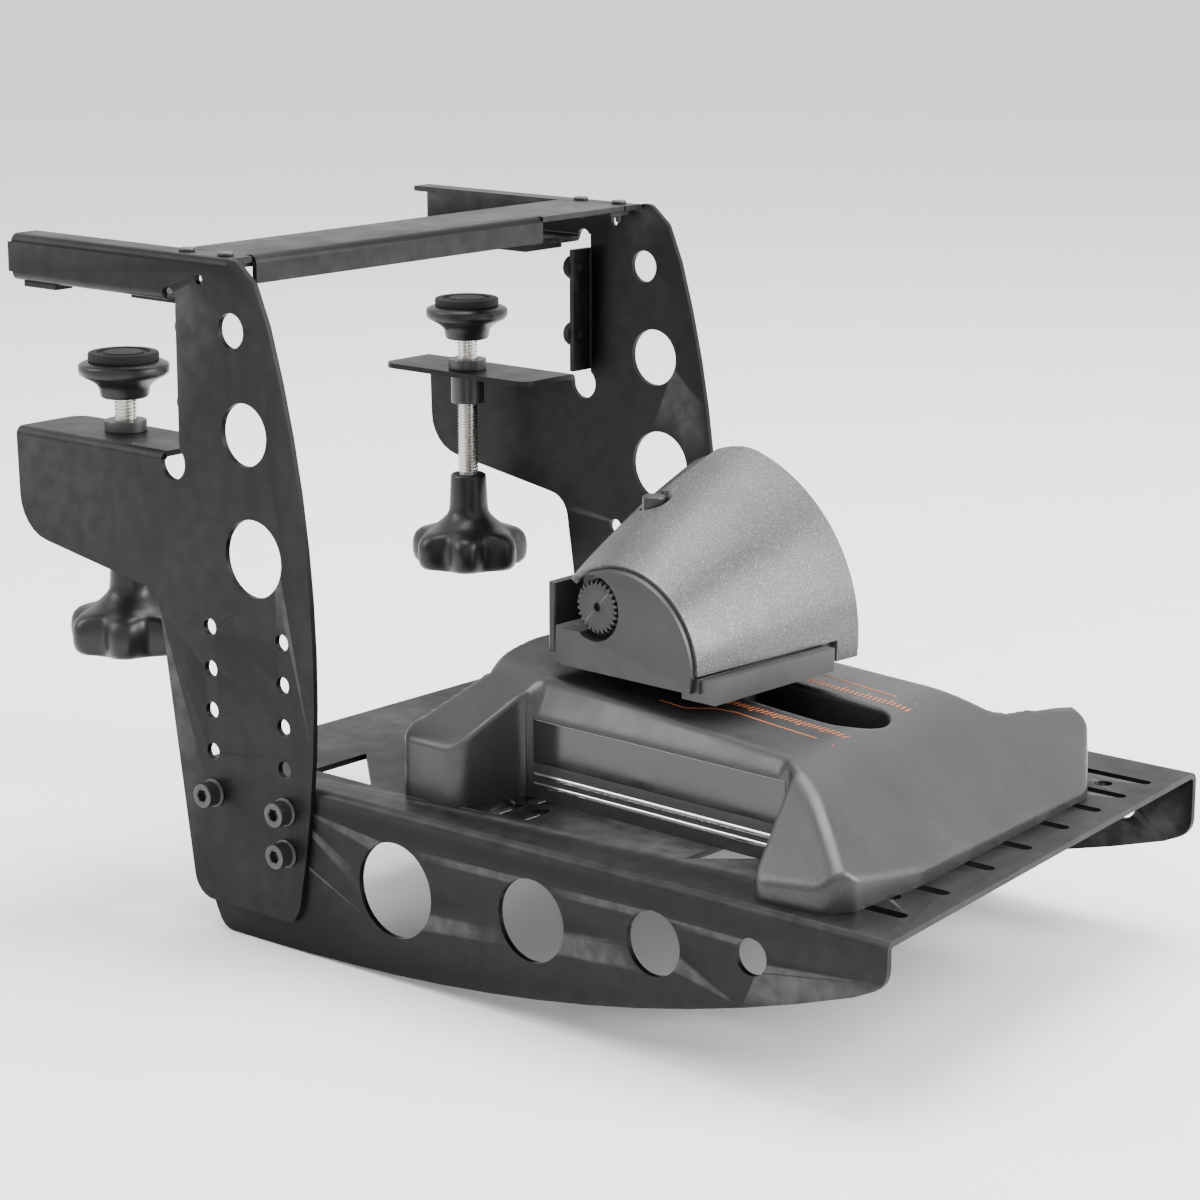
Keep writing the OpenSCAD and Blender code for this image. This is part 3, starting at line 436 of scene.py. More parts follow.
def bar(bm: bmesh.types.BMesh, low: Sequence[float], high: Sequence[float]) -> list[bmesh.types.BMVert]:
    """Adds a rectangular bar.

    Args:
        bm: mesh that gets it.
        low: its lowest corner.
        high: its highest corner.

    Returns:
        The bar's vertices.
    """
    size = [h - l for l, h in zip(low, high)]
    middle = [(l + h) / 2 for l, h in zip(low, high)]
    place = Matrix.Translation(middle) @ Matrix.Diagonal((*size, 1.0))
    return bmesh.ops.create_cube(bm, size=1.0, matrix=place)["verts"]


def joint(name: str) -> dict:
    """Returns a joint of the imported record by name."""
    return [j for j in frame["joints"] if j["name"] == name][0]


# ---- bracket ----------------------------------------------------------------------------------
@dataclass
class Bracket:
    """Bent-sheet frame: uprights, bridge, tray and their fasteners."""

    sheet_edge: float = 0.28 * MM
    screw_edge: float = 0.35 * MM
    sheets: tuple[str, ...] = ("left_upright", "right_upright", "top_bridge", "platform_tray")
    small: tuple[str, ...] = ("tray_bolts", "tray_nuts", "bridge_screws", "edge_bumpers", "arm_pads",
                              "clamp_bushes", "base_screws")

    def build(self) -> None:
        """Softens the edges of the sheets and of the fasteners on them."""
        for node in self.sheets:
            softened(node, self.sheet_edge)
        for node in self.small:
            softened(node, self.screw_edge)


# ---- clamps -----------------------------------------------------------------------------------
@dataclass
class Clamp:
    """One clamp: threaded screw, lobed knob, pressure cup and rubber pad."""

    side: str
    radius: float = 4.0 * MM
    pitch: float = 1.25 * MM
    thread_depth: float = 0.55 * MM
    steps: int = 24
    lobes: int = 7
    knob_radius: float = 24.0

    def __post_init__(self) -> None:
        """Reads the clamp's axis from its screw."""
        self.low, self.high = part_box(f"{self.side}_clamp_screw")
        self.centre = (self.low + self.high) / 2

    def finish(self, part: str, node: str, bm: bmesh.types.BMesh, slot: str, body: str, angle: float) -> None:
        """Puts a mesh built round Z onto the clamp's axis, in place of a CAD node.

        Args:
            part: the new piece's name, without the side.
            node: the CAD node's name, without the side.
            bm: the mesh.
            slot: the record's material slot.
            body: foot or spindle.
            angle: edges sharper than this, in degrees, stay sharp.
        """
        bmesh.ops.translate(bm, vec=(self.centre.x, self.centre.y, 0), verts=bm.verts)
        piece = finish_piece(f"{self.side}_{part}", bm, slot, f"{self.side}_{body}", angle)
        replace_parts(piece, f"{self.side}_{node}")

    def screw(self) -> None:
        """Builds the threaded shank as one wound ridge on a core."""
        root = self.radius - self.thread_depth
        core, collar, tip = root + 0.04 * MM, 5.5 * MM, 3.2 * MM
        seat, neck = self.high.z - 2.5 * MM, self.radius - 0.1 * MM
        top, bottom = self.high.z - 3 * MM, self.low.z + 1 * MM
        bm = bmesh.new()
        turns = int((top - bottom) / self.pitch) - 1
        points = [(root, 0.0), (root, 0.12), (self.radius, 0.44), (self.radius, 0.56), (root, 0.88),
                  (root, 1.0)]
        verts = [bm.verts.new((r, 0, bottom + t * self.pitch)) for r, t in points]
        edges = [bm.edges.new(pair) for pair in zip(verts, verts[1:])]
        bmesh.ops.spin(bm, geom=verts + edges, cent=(0, 0, 0), axis=(0, 0, 1), angle=math.tau * turns,
                       dvec=(0, 0, self.pitch / self.steps), steps=self.steps * turns, use_merge=False)
        bmesh.ops.remove_doubles(bm, verts=bm.verts, dist=WELD / 2)
        lathe(bm, [(0, self.low.z), (tip, self.low.z), (core, bottom), (core, top), (neck, top), (neck, seat),
                   (collar, seat), (collar, self.high.z), (0, self.high.z)], 48)
        self.finish("thread", "clamp_screw", bm, "zinc", "spindle", 50.0)

    def knob(self) -> None:
        """Builds the lobed knob with its stem."""
        low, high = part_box(f"{self.side}_clamp_knob")
        reach = max((high.y - low.y) / 2, (high.x - low.x) / 2)
        hub = [(11.0, 3.6, 0), (13.5, 0.6, 0), (14.2, 0.1, 0)]
        grip = [(18.5, 0.0, 1.0), (21.6, 0.5, 3.4), (23.2, 2.0, 4.6), (23.9, 4.4, 5.0), (24.0, 7.2, 5.0),
                (23.7, 9.8, 4.8), (22.6, 12.2, 4.2), (20.6, 13.9, 3.2), (17.6, 14.9, 1.6), (14.6, 15.6, 0.5)]
        stem = [(12.6, 16.9, 0.1), (10.6, 18.6, 0), (9.0, 20.2, 0), (8.1, 22.0, 0), (7.8, 24.5, 0),
                (7.25, 35.6, 0), (7.0, 36.4, 0), (6.4, 36.8, 0), (4.2, 36.8, 0)]
        scale = reach / (self.knob_radius * MM)
        stations = [(min(r * MM * scale, reach), low.z + h * MM, d * MM) for r, h, d in hub + grip + stem]
        bm = bmesh.new()
        rings(bm, stations, self.lobes, lambda t: 0.5 * (1 - math.cos(math.tau * t)) ** 1.25 / 2 ** 0.25)
        self.finish("knob", "clamp_knob", bm, "knob_plastic", "spindle", 60.0)

    def cup(self) -> None:
        """Builds the pressure cup that turns on the screw's tip."""
        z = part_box(f"{self.side}_clamp_cup")[0].z
        bore, bore_end = 4.06, 6.4
        outline = [(0, bore_end), (bore, bore_end), (bore, 0.2), (7.6, 0.0), (8.3, 0.35), (8.7, 1.4),
                   (9.0, 3.6), (10.2, 5.2), (12.6, 6.7), (14.9, 7.9), (15.8, 8.7), (16.0, 9.6),
                   (16.0, 11.4), (15.6, 12.0), (14.6, 12.5), (13.4, 12.95), (12.7, 13.0), (0, 13.0)]
        bm = bmesh.new()
        lathe(bm, [(r * MM, z + h * MM) for r, h in outline], 96)
        self.finish("cup", "clamp_cup", bm, "knob_plastic", "foot", 40.0)

    def pad(self) -> None:
        """Builds the rubber pad with its moulded groove."""
        low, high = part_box(f"{self.side}_clamp_pad")
        radius, groove = (high.x - low.x) / 2, high.z - 0.25 * (high.z - low.z)
        rim = [(0.0, low.z + 0.4 * MM), (0.0, high.z - 0.7 * MM), (0.25, high.z - 0.2 * MM), (0.8, high.z),
               (3.0, high.z), (3.3, groove), (5.3, groove), (5.6, high.z)]
        bm = bmesh.new()
        lathe(bm, [(0, low.z), (radius - 0.3 * MM, low.z)] + [(radius - r * MM, z) for r, z in rim]
              + [(0, high.z)], 96)
        self.finish("pad", "clamp_pad", bm, "rubber", "foot", 40.0)

    def build(self) -> None:
        """Builds the clamp's pieces."""
        self.screw()
        self.knob()
        self.cup()
        self.pad()


# ---- throttle ---------------------------------------------------------------------------------
@dataclass
class ThrottlePlace:
    """Where the throttle stands on the tray, read from its slide and its tension screw."""

    anchor: tuple[float, float, float] = (-88 * MM, -8.5 * MM, 17 * MM)
    matrix: Matrix = field(init=False)

    def __post_init__(self) -> None:
        """Works out the transform from the throttle's own axes to the row frame."""
        axis = joint("throttle_slide")["axis"]
        turn = Matrix.Rotation(math.atan2(axis[1], axis[0]), 4, "Z")
        origin = Vector(joint("tension_turn")["pos_m"]) - turn @ Vector(self.anchor)
        self.matrix = Matrix.Translation(origin) @ turn

    def put(self, bm: bmesh.types.BMesh) -> bmesh.types.BMesh:
        """Moves a mesh from the throttle's axes, in metres, to the row frame."""
        bmesh.ops.transform(bm, matrix=self.matrix, verts=bm.verts)
        return bm

    def local(self, node: str) -> bmesh.types.BMesh:
        """Copies a CAD node into the throttle's own axes.

        Args:
            node: the CAD node.

        Returns:
            The merged copy, in metres.
        """
        bm = cad_copy(node)
        bmesh.ops.transform(bm, matrix=self.matrix.inverted(), verts=bm.verts)
        return bm


@dataclass
class Base:
    """Moulded base with its slot, inlay, trim strips and printed scale. Sizes are in millimetres."""

    at: ThrottlePlace
    roof_at_zero: float = 36.9
    fall: float = 0.0582
    apron: tuple[float, float, float] = (66.0, -60.0, 33.1)   # x, y and height where the apron starts
    lip_turn: float = 9.0
    waist: tuple[float, float] = (-62.5, 47.0)
    desk_x: float = -88.0
    wing_from: tuple[float, float] = (53.0, 58.0)
    block_from: tuple[float, float] = (49.5, 54.5)
    slot: tuple[float, float, float, float] = (-70.0, 52.0, -8.5, 12.5)   # both ends, middle, half width
    slot_wall: float = 9.0
    spacing: float = 1.5
    rim: float = 1.6
    print_width: float = 0.55
    print_lift: float = 0.08

    @staticmethod
    def soft_min(a: np.ndarray, b: np.ndarray, k: float) -> np.ndarray:
        """Returns the lower of two heights, rolled over within k millimetres."""
        h = np.clip(0.5 + 0.5 * (b - a) / k, 0, 1)
        return b * (1 - h) + a * h - k * h * (1 - h)

    @staticmethod
    def step(v: np.ndarray, low: float, high: float) -> np.ndarray:
        """Returns a smooth 0..1 step of a value from low to high."""
        t = np.clip((v - low) / (high - low), 0, 1)
        return t * t * (3 - 2 * t)

    def height(self, x: np.ndarray, y: np.ndarray) -> np.ndarray:
        """Height of the moulding over its plan, in millimetres.

        Args:
            x: places along the slide.
            y: places across it.

        Returns:
            The heights.
        """
        top = self.roof_at_zero - self.fall * x + 0.0004 * np.clip(x - 20, 0, None) ** 2
        turn = math.radians(self.lip_turn)
        start_x, start_y, start_h = self.apron
        along = (x - start_x) * math.cos(turn) + (y - start_y) * math.sin(turn)
        apron = start_h - 0.7 * along - 0.0022 * np.clip(along, 0, None) ** 2
        body = self.soft_min(top, apron, 9.0)
        near, far = y - self.waist[0], self.waist[1] - y
        core = self.soft_min(self.soft_min(body, 28.5 + 1.45 * near, 1.6), 27 + 0.9 * far, 2.0)
        far_side = 36.5 + 0.35 * (far + 1)
        wing_near = 35.5 + 0.95 * (near - 0.5)
        block_near = 36.0 + 0.56 * (near - 0.5) - 0.012 * np.clip(-80 - y, 0, None) ** 2
        wing_top = self.soft_min(self.soft_min(body, wing_near, 4.0), far_side, 3.0)
        block_top = self.soft_min(self.soft_min(body, block_near, 4.0), far_side, 3.0)
        wing, block = self.step(x, *self.wing_from), self.step(-x, *self.block_from)
        h = core * (1 - wing) * (1 - block) + wing_top * wing + block_top * block
        edge_x = self.desk_x + 12 * np.clip((-21 - y) / 36, 0, 1) ** 1.6 - 11 * np.clip((-57 - y) / 27, 0, 1)
        desk = 39.5 + 3.4 * (x - edge_x) - 0.55 * np.clip(-57 - y, 0, None)
        return self.soft_min(h, desk, 3.5)

    def outline(self) -> np.ndarray:
        """Reads the moulding's plan outline from the CAD node's lower edge.

        Returns:
            The outline's points in order, in millimetres.
        """
        bm = self.at.local("base_top_shell")
        low = [e for e in bm.edges if max(abs(v.co.z) for v in e.verts) < 0.01 * MM]
        nexts: dict[int, list[int]] = {}
        for e in low:
            a, b = e.verts[0].index, e.verts[1].index
            nexts.setdefault(a, []).append(b)
            nexts.setdefault(b, []).append(a)
        bm.verts.ensure_lookup_table()
        start = max(nexts, key=lambda i: bm.verts[i].co.x)
        loop, last, here = [start], -1, start
        while len(loop) <= len(nexts):
            here, last = [n for n in nexts[here] if n != last][0], here
            if here == start:
                break
            loop.append(here)
        points = [np.array(bm.verts[i].co.xy) / MM for i in loop]
        bm.free()
        return self.resample(points)

    def resample(self, points: Sequence[np.ndarray]) -> np.ndarray:
        """Splits a closed outline into steps of about the grid spacing.

        Args:
            points: the outline's corners.

        Returns:
            The outline with the added points.
        """
        dense = []
        for a, b in zip(points, list(points[1:]) + [points[0]]):
            n = max(1, int(np.linalg.norm(b - a) / self.spacing))
            dense += [a + (b - a) * t / n for t in range(n)]
        return np.array(dense)

    @staticmethod
    def distance(points: np.ndarray, loop: np.ndarray) -> np.ndarray:
        """Measures how far points are from a closed outline.

        Args:
            points: the points.
            loop: the outline.

        Returns:
            The distance of each point.
        """
        a, b = loop, np.roll(loop, -1, axis=0)
        d = b - a
        best = np.full(len(points), 1e9)
        for s0, seg in zip(a, d):
            rel = points - s0
            t = np.clip((rel @ seg) / max(seg @ seg, 1e-12), 0, 1)
            best = np.minimum(best, np.linalg.norm(rel - t[:, None] * seg, axis=1))
        return best

    @staticmethod
    def inside(points: np.ndarray, loop: np.ndarray) -> np.ndarray:
        """Tells which points are inside a closed outline.

        Args:
            points: the points.
            loop: the outline.

        Returns:
            True for each point that is inside.
        """
        result = np.zeros(len(points), bool)
        for a, b in zip(loop, np.roll(loop, -1, axis=0)):
            crosses = (a[1] > points[:, 1]) != (b[1] > points[:, 1])
            with np.errstate(divide="ignore", invalid="ignore"):
                at_x = (b[0] - a[0]) * (points[:, 1] - a[1]) / (b[1] - a[1]) + a[0]
            result ^= crosses & (points[:, 0] < at_x)
        return result

    def slot_outline(self) -> np.ndarray:
        """Draws the slot as two half circles joined by straight sides.

        Returns:
            The outline's points, in millimetres.
        """
        x0, x1, y, half = self.slot
        arc = [math.radians(a) for a in range(-90, 91, 6)]
        right = [(x1 - half + half * math.cos(a), y + half * math.sin(a)) for a in arc]
        left = [(x0 + half - half * math.cos(a), y - half * math.sin(a)) for a in arc]
        return self.resample([np.array(p) for p in right + left])

    def ring_points(self, loop: np.ndarray, outer: np.ndarray, slot: np.ndarray,
                    sign: int) -> list[np.ndarray]:
        """Lays rows of points beside a rim, to carry its rounding.

        Args:
            loop: the rim's outline.
            outer: the moulding's outline.
            slot: the slot's outline.
            sign: 1 for rows inside the loop, -1 for rows outside it.

        Returns:
            The rows.
        """
        following = np.roll(loop, -1, axis=0)
        area = 0.5 * np.sum(loop[:, 0] * following[:, 1] - following[:, 0] * loop[:, 1])
        tangent = following - np.roll(loop, 1, axis=0)
        tangent /= np.linalg.norm(tangent, axis=1)[:, None]
        inward = np.stack([-tangent[:, 1], tangent[:, 0]], -1) * (1 if area > 0 else -1) * sign
        rows = []
        for reach in (0.15, 0.5, 1.0, 1.7):
            row = loop + inward * reach
            row = row[self.inside(row, outer) & ~self.inside(row, slot)]
            rows.append(row[self.rim_distance(row, outer, slot) > reach * 0.9])
        return rows

    def rim_distance(self, points: np.ndarray, outer: np.ndarray, slot: np.ndarray) -> np.ndarray:
        """Returns the distance of each point to the nearer rim."""
        return np.minimum(self.distance(points, outer), self.distance(points, slot))

    def skin(self, outer: np.ndarray, slot: np.ndarray) -> bmesh.types.BMesh:
        """Meshes the top between the outline and the slot, rounded down at both rims.

        Args:
            outer: the moulding's outline.
            slot: the slot's outline.

        Returns:
            The open skin, facing up.
        """
        grid = np.stack(np.meshgrid(np.arange(-90, 102, self.spacing), np.arange(-93, 100, self.spacing)), -1)
        grid = grid.reshape(-1, 2)
        grid = grid[self.inside(grid, outer) & ~self.inside(grid, slot)]
        grid = grid[self.rim_distance(grid, outer, slot) > self.rim + 0.5]
        rows = self.ring_points(outer, outer, slot, 1) + self.ring_points(slot, outer, slot, -1)
        points = np.concatenate([outer, slot, grid] + rows)
        n, m = len(outer), len(slot)
        edges = [(i, (i + 1) % n) for i in range(n)] + [(n + i, n + (i + 1) % m) for i in range(m)]
        verts, _, faces, _, _, _ = delaunay_2d_cdt([Vector(p) for p in points], edges, [], 0, 1e-5)
        flat = np.array([tuple(v) for v in verts])
        gap, r = self.rim_distance(flat, outer, slot), self.rim
        drop = np.where(gap < r, r - np.sqrt(np.clip(r * r - (r - gap) ** 2, 0, None)), 0.0)
        z = np.maximum(self.height(flat[:, 0], flat[:, 1]) - drop, 1.0)
        middle = np.array([flat[list(f)].mean(0) for f in faces])
        used = self.inside(middle, outer) & ~self.inside(middle, slot)
        bm = bmesh.new()
        made = [bm.verts.new((x * MM, y * MM, h * MM)) for (x, y), h in zip(flat, z)]
        for f, ok in zip(faces, used):
            if ok:
                bm.faces.new([made[i] for i in f])
        bmesh.ops.delete(bm, geom=[v for v in bm.verts if not v.link_faces], context="VERTS")
        bmesh.ops.recalc_face_normals(bm, faces=bm.faces)
        if sum(f.normal.z for f in bm.faces) < 0:
            bmesh.ops.reverse_faces(bm, faces=bm.faces)
        return bm

    def shell(self) -> None:
        """Builds the moulding: its top, the walls down to the tray and those of the slot."""
        bm = self.skin(self.outline(), self.slot_outline())
        border = [e for e in bm.edges if e.is_boundary]
        x0, x1, y, half = self.slot
        walls = bmesh.ops.extrude_edge_only(bm, edges=border)["geom"]
        for v in [g for g in walls if isinstance(g, bmesh.types.BMVert)]:
            mx, my = v.co.x / MM, v.co.y / MM
            in_slot = x0 - 1 < mx < x1 + 1 and abs(my - y) < half + 0.6
            v.co.z = v.co.z - self.slot_wall * MM if in_slot else 0.0
        obj = finish_piece("base_moulding", self.at.put(bm), "base_plastic", "bracket", 60.0)
        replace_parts(obj, "base_top_shell")

    def scale_print(self) -> None:
        """Lays the printed scale lines and ticks on the sloping top."""
        bm = bmesh.new()
        half = self.print_width / 2 * MM

        def line(x0: float, y0: float, x1: float, y1: float) -> None:
            """Lays one printed line.

            Args:
                x0: its start along the slide, in millimetres.
                y0: its start across the slide.
                x1: its end along the slide.
                y1: its end across the slide.
            """
            a, b = Vector((x0 * MM, y0 * MM, 0)), Vector((x1 * MM, y1 * MM, 0))
            made = bar(bm, (0, -half, 0), ((b - a).length, half, self.print_lift * MM))
            turn = Matrix.Rotation(math.atan2(b.y - a.y, b.x - a.x), 4, "Z")
            bmesh.ops.transform(bm, matrix=Matrix.Translation(a) @ turn, verts=made)

        near_line = ((-10.9, -44.6), (0, -44.8), (6.5, -37.6), (14.2, -35.6), (55.9, -37.6))
        far_line = ((-22, 20.4), (-4, 20.2), (45.9, 18.4))
        for points in (near_line, far_line):
            for a, b in zip(points, points[1:]):
                line(*a, *b)
        near_y, far_y, first, pitch, ticks = -26.2, 9.6, 6, 1.96, 25
        for index in range(ticks):
            x = first + index * pitch
            tall = 4.6 if index % 5 == 0 else 3.4
            line(x, near_y, x - 0.5, near_y - tall)
            line(x - 5, far_y, x - 5.5, far_y + tall)
        long_edges = [e for e in bm.edges if e.calc_length() > 8 * MM]
        bmesh.ops.subdivide_edges(bm, edges=long_edges, cuts=4)
        for v in bm.verts:
            v.co.z += self.height(np.array([v.co.x / MM]), np.array([v.co.y / MM]))[0] * MM
        finish_piece("scale_print", self.at.put(bm), "base_plastic", "bracket", 30.0, PRINT)

    def build(self) -> None:
        """Builds the base's pieces."""
        self.shell()
        self.scale_print()
        for node, width in (("waist_panels", 0.5), ("trim_strips", 0.4), ("cable_gland", 0.3),
                            ("tension_screw", 0.8), ("pedal_socket", 0.3)):
            softened(node, width * MM)


@dataclass
class Grip:
    """Palm shell, grip body, dial, paddle and thumb controls."""

    at: ThrottlePlace
    axis: tuple[Vector, Vector] = (Vector((-18, -54, 50)), Vector((-42, 27, 50)))
    radii: tuple[float, float] = (31.0, 60.0)
    over: float = 12.0          # how far the cone runs past both ends
    ends: tuple[float, float] = (-51.9, 26.9)
    foot: float = 43.2
    face: float = -44.8         # the shell's edge on the desk side
    lean: float = 2.0
    corner: float = 15.0
    shell_wall: float = 2.5
    pocket: tuple[Vector, float] = (Vector((-32, -38.8, 66.5)), 23.5)
    ridge: tuple[Vector, float] = (Vector((-41, -14, 60)), 12.0)
    body_corner: tuple[float, float] = (-50.5, 24.2)

    def shell(self) -> None:
        """Cuts the tapering palm shell out of a cone and gives it a wall."""
        near, far = self.axis[0] * MM, self.axis[1] * MM
        run = far - near
        over = self.over * MM
        rate = (self.radii[1] - self.radii[0]) * MM / run.length
        bm = bmesh.new()
        bmesh.ops.create_cone(bm, cap_ends=False, segments=256, radius1=self.radii[0] * MM - rate * over,
                              radius2=self.radii[1] * MM + rate * over, depth=run.length + 2 * over)
        turn = Matrix.Rotation(math.atan2(run.y, run.x), 4, "Z") @ Matrix.Rotation(math.radians(90), 4, "Y")
        bmesh.ops.transform(bm, matrix=Matrix.Translation((near + far) / 2) @ turn, verts=bm.verts)
        for y in range(-50, 27, 4):
            self.slice(bm, (0, y * MM, 0), (0, 1, 0), False)
        middle = Vector((self.face + self.corner, self.ends[1] - self.corner, 0)) * MM
        for degrees in range(8, 90, 8):
            angle = math.radians(degrees)
            way = Vector((-math.cos(angle), math.sin(angle), 0))
            self.slice(bm, middle + way * self.corner * MM, way, True)
        lean = math.radians(self.lean)
        self.slice(bm, (0, self.ends[0] * MM, 0), (0, -1, 0), True)
        self.slice(bm, (0, self.ends[1] * MM, 0), (0, 1, 0), True)
        self.slice(bm, (self.face * MM, 0, 45 * MM), (-math.cos(lean), 0, math.sin(lean)), True)
        self.slice(bm, (0, 0, self.foot * MM), (0, 0, -1), True)
        bmesh.ops.recalc_face_normals(bm, faces=bm.faces)
        middle = Vector((-30, -10, 60)) * MM
        if sum((f.calc_center_median() - middle).dot(f.normal) for f in bm.faces) < 0:
            bmesh.ops.reverse_faces(bm, faces=bm.faces)
        obj = finish_piece("palm_cover", self.at.put(bm), "shell_metallic", "slider", 35.0)
        wall = obj.modifiers.new("wall", "SOLIDIFY")
        wall.thickness = self.shell_wall * MM
        wall.offset = -1.0
        self.subtract(obj, self.notch_cutter())
        self.subtract(obj, self.round_cutter("dial_pocket_cut", *self.pocket, 30, "Y-"))
        self.subtract(obj, self.round_cutter("ridge_cut", *self.ridge, 70, "Z"))
        edge = obj.modifiers.new("edge_round", "BEVEL")
        edge.width = 0.7 * MM
        edge.segments = 3
        edge.limit_method = "ANGLE"
        edge.angle_limit = math.radians(50)
        self.apply(obj)
        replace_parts(obj, "palm_shell")

    @staticmethod
    def slice(bm: bmesh.types.BMesh, point: Sequence[float], normal: Sequence[float], clear: bool) -> None:
        """Cuts a mesh with a plane and may drop what is beyond it."""
        bmesh.ops.bisect_plane(bm, geom=bm.verts[:] + bm.edges[:] + bm.faces[:], dist=1e-7, plane_co=point,
                               plane_no=normal, clear_outer=clear, clear_inner=False)

    def round_cutter(self, name: str, base: Vector, diameter: float, height: float,
                     way: str) -> bpy.types.Object:
        """Makes a round cutter.

        Args:
            name: the cutter's name.
            base: middle of its base, in the throttle's millimetres.
            diameter: its width.
            height: its length.
            way: "Y-" to point it at the dial's side, or "Z" for up.

        Returns:
            The cutter.
        """
        bm = bmesh.new()
        radius = diameter / 2 * MM
        bmesh.ops.create_cone(bm, cap_ends=True, segments=96, radius1=radius, radius2=radius,
                              depth=height * MM)
        bmesh.ops.translate(bm, vec=(0, 0, height / 2 * MM), verts=bm.verts)
        turn = Matrix.Rotation(math.radians(90), 4, "X") if way == "Y-" else Matrix.Identity(4)
        bmesh.ops.transform(bm, matrix=self.at.matrix @ Matrix.Translation(base * MM) @ turn, verts=bm.verts)
        return self.loose(name, bm)

    def loose(self, name: str, bm: bmesh.types.BMesh) -> bpy.types.Object:
        """Links a bmesh as a plain object, for use as a cutter.

        Args:
            name: the object's name.
            bm: its mesh, which is freed.

        Returns:
            The object.
        """
        mesh = bpy.data.meshes.new(name)
        bm.to_mesh(mesh)
        bm.free()
        obj = bpy.data.objects.new(name, mesh)
        bpy.context.scene.collection.objects.link(obj)
        return obj

    def notch_cutter(self) -> bpy.types.Object:
        """Makes the box that clears the shell's lower edge over the bar.

        Returns:
            The cutter.
        """
        bm = bmesh.new()
        bar(bm, Vector((-60, -70, 20)) * MM, Vector((60, 16, 50.6)) * MM)
        return self.loose("notch", self.at.put(bm))

    def subtract(self, obj: bpy.types.Object, cutter: bpy.types.Object) -> None:
        """Cuts one object out of another and drops the cutter.

        Args:
            obj: the piece to cut.
            cutter: what is cut out of it.
        """
        mod = obj.modifiers.new("cut", "BOOLEAN")
        mod.operation = "DIFFERENCE"
        mod.solver = "EXACT"
        mod.object = cutter
        self.apply(obj)
        bpy.data.objects.remove(cutter)

    @staticmethod
    def apply(obj: bpy.types.Object) -> None:
        """Turns a piece's modifiers into its mesh.

        Args:
            obj: the piece.
        """
        bpy.context.view_layer.update()
        done = bpy.data.meshes.new_from_object(obj.evaluated_get(bpy.context.evaluated_depsgraph_get()))
        obj.modifiers.clear()
        obj.data = done
        done.shade_smooth()
        done.set_sharp_from_angle(angle=math.radians(38))

    def dial(self) -> None:
        """Builds the toothed dial with its dished face."""
        position = self.at.matrix.inverted() @ Vector(joint("dial_turn")["pos_m"])
        shaft_and_back = [(1.4, -8.6, 0), (1.45, -3.6, 0), (7.6, -3.6, 0), (8.6, -3.3, 0.5)]
        barrel_and_face = [(9.2, -2.8, 1.3), (9.2, 8.2, 1.3), (8.6, 9.0, 0.9), (7.2, 9.3, 0.2), (2.6, 9.3, 0),
                           (1.5, 8.9, 0), (1.4, 7.2, 0)]
        bm = bmesh.new()
        stations = [(r * MM, h * MM, d * MM) for r, h, d in shaft_and_back + barrel_and_face]
        rings(bm, stations, 26, lambda t: 1.0 if t < 0.42 else 0.0, 8)
        place = Matrix.Translation(Vector((position.x, -43.2 * MM, position.z)))
        turn = Matrix.Rotation(math.radians(90), 4, "X")
        bmesh.ops.transform(bm, matrix=place @ turn, verts=bm.verts)
        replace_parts(finish_piece("dial_toothed", self.at.put(bm), "dial_grey", "dial_wheel", 25.0), "dial")

    def build(self) -> None:
        """Builds the grip's pieces."""
        self.shell()
        self.dial()
        for node, width in (("grip_body", 0.6), ("end_plate", 0.35), ("rudder_paddle", 0.9),
                            ("stick_cap", 0.4), ("hat_cap", 0.3), ("upper_button", 0.5),
                            ("lower_button", 0.5), ("finger_button", 0.6), ("thumb_rocker", 0.6),
                            ("ridge_button", 1.0), ("grip_neck", 0.4)):
            piece = softened(node, width * MM)
            if node == "grip_body":
                self.subtract(piece, self.corner_cutter())

    def corner_cutter(self) -> bpy.types.Object:
        """Makes the prism that rounds the body's far corner on the desk side.

        Returns:
            The cutter.
        """
        x, y = self.body_corner[0] + self.corner, self.body_corner[1] - self.corner
        arc = [math.radians(a) for a in range(0, 91, 9)]
        outline = [(x - self.corner * math.cos(a), y + self.corner * math.sin(a)) for a in arc]
        outline += [(x, y + 40), (x - 60, y + 40), (x - 60, y)]
        bm = bmesh.new()
        low = [bm.verts.new((px * MM, py * MM, 52 * MM)) for px, py in outline]
        face = bm.faces.new(low)
        raised = bmesh.ops.extrude_face_region(bm, geom=[face])["geom"]
        top = [g for g in raised if isinstance(g, bmesh.types.BMVert)]
        bmesh.ops.translate(bm, vec=(0, 0, 70 * MM), verts=top)
        bmesh.ops.recalc_face_normals(bm, faces=bm.faces)
        return self.loose("corner_cut", self.at.put(bm))


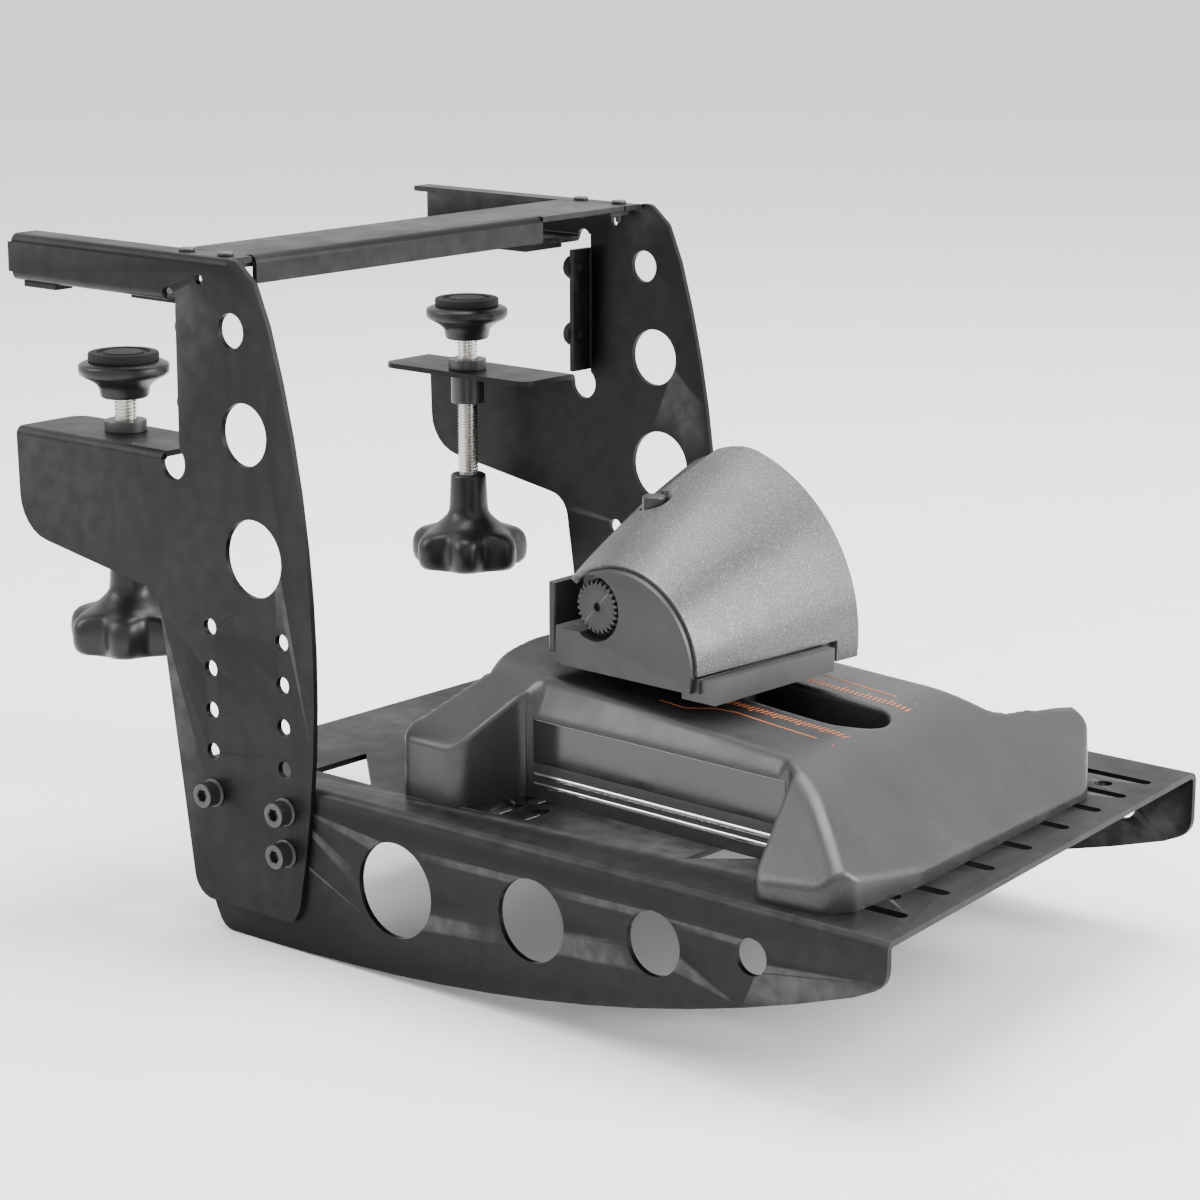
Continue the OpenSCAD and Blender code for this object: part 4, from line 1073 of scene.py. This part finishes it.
# ---- studio -----------------------------------------------------------------------------------
@dataclass
class Studio:
    """Floor, lights and camera."""

    azimuth: float = 40.49
    elevation: float = 13.41
    lens: float = 97.1
    eye: tuple[float, float, float] = (0.81457, -0.83628, 0.15682)
    world: float = 1.4
    floor_half: float = 40.0
    floor_gap: float = 0.2 * MM

    def camera(self) -> None:
        """Places the camera."""
        data = bpy.data.cameras.new("camera")
        data.lens = self.lens
        data.sensor_width = 36.0
        data.clip_end = 100.0
        obj = bpy.data.objects.new("camera", data)
        obj.location = self.eye
        obj.rotation_euler = (math.radians(90 - self.elevation), 0.0, math.radians(self.azimuth))
        bpy.context.scene.collection.objects.link(obj)
        bpy.context.scene.camera = obj

    def light(self, name: str, place: Sequence[float], size: tuple[float, float], power: float) -> None:
        """Adds a soft rectangular light aimed at the object's middle.

        Args:
            name: the light's name.
            place: where it hangs, in metres.
            size: its width and height.
            power: watts.
        """
        data = bpy.data.lights.new(name, "AREA")
        data.shape = "RECTANGLE"
        data.size, data.size_y = size
        data.energy = power
        obj = bpy.data.objects.new(name, data)
        obj.location = place
        low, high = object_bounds()
        aim = (Vector(low) + Vector(high)) / 2 - Vector(place)
        obj.rotation_euler = aim.to_track_quat("-Z", "Y").to_euler()
        bpy.context.scene.collection.objects.link(obj)

    def build(self) -> None:
        """Builds floor, world, lights and camera."""
        bm = bmesh.new()
        bmesh.ops.create_grid(bm, x_segments=1, y_segments=1, size=self.floor_half)
        bmesh.ops.translate(bm, vec=(0, 0, CAD_BOX[0][2] - self.floor_gap), verts=bm.verts)
        mesh = bpy.data.meshes.new("floor")
        bm.to_mesh(mesh)
        bm.free()
        floor = bpy.data.objects.new("floor", mesh)
        mesh.materials.append(FLOOR.material())
        bpy.context.scene.collection.objects.link(floor)
        floor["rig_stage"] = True
        world = bpy.data.worlds.new("studio")
        world.use_nodes = True
        sky = world.node_tree.nodes["Background"]
        sky.inputs["Color"].default_value = (1, 1, 1, 1)
        sky.inputs["Strength"].default_value = self.world
        bpy.context.scene.world = world
        self.light("top_soft", (0.1, 0.25, 1.5), (1.2, 1.2), 44.0)
        self.light("right_strip", (1.3, 0.7, 0.6), (0.5, 1.2), 40.0)
        self.light("left_back", (-1.0, -0.9, 0.9), (0.6, 1.0), 14.0)
        self.camera()


def dress_remaining() -> None:
    """Gives every CAD node that still shows its slot's finish."""
    for name, obj in frame["nodes"].items():
        obj.data.materials.clear()
        obj.data.materials.append(FINISHES[SLOT_OF[name]].material())


def main() -> None:
    """Builds the whole stand."""
    logging.basicConfig(level=logging.INFO, format="%(message)s")
    dress_remaining()
    Bracket().build()
    for side in ("left", "right"):
        Clamp(side).build()
    place = ThrottlePlace()
    Base(place).build()
    Grip(place).build()
    Studio().build()
    bpy.context.view_layer.update()


if __name__ == "__main__":
    main()
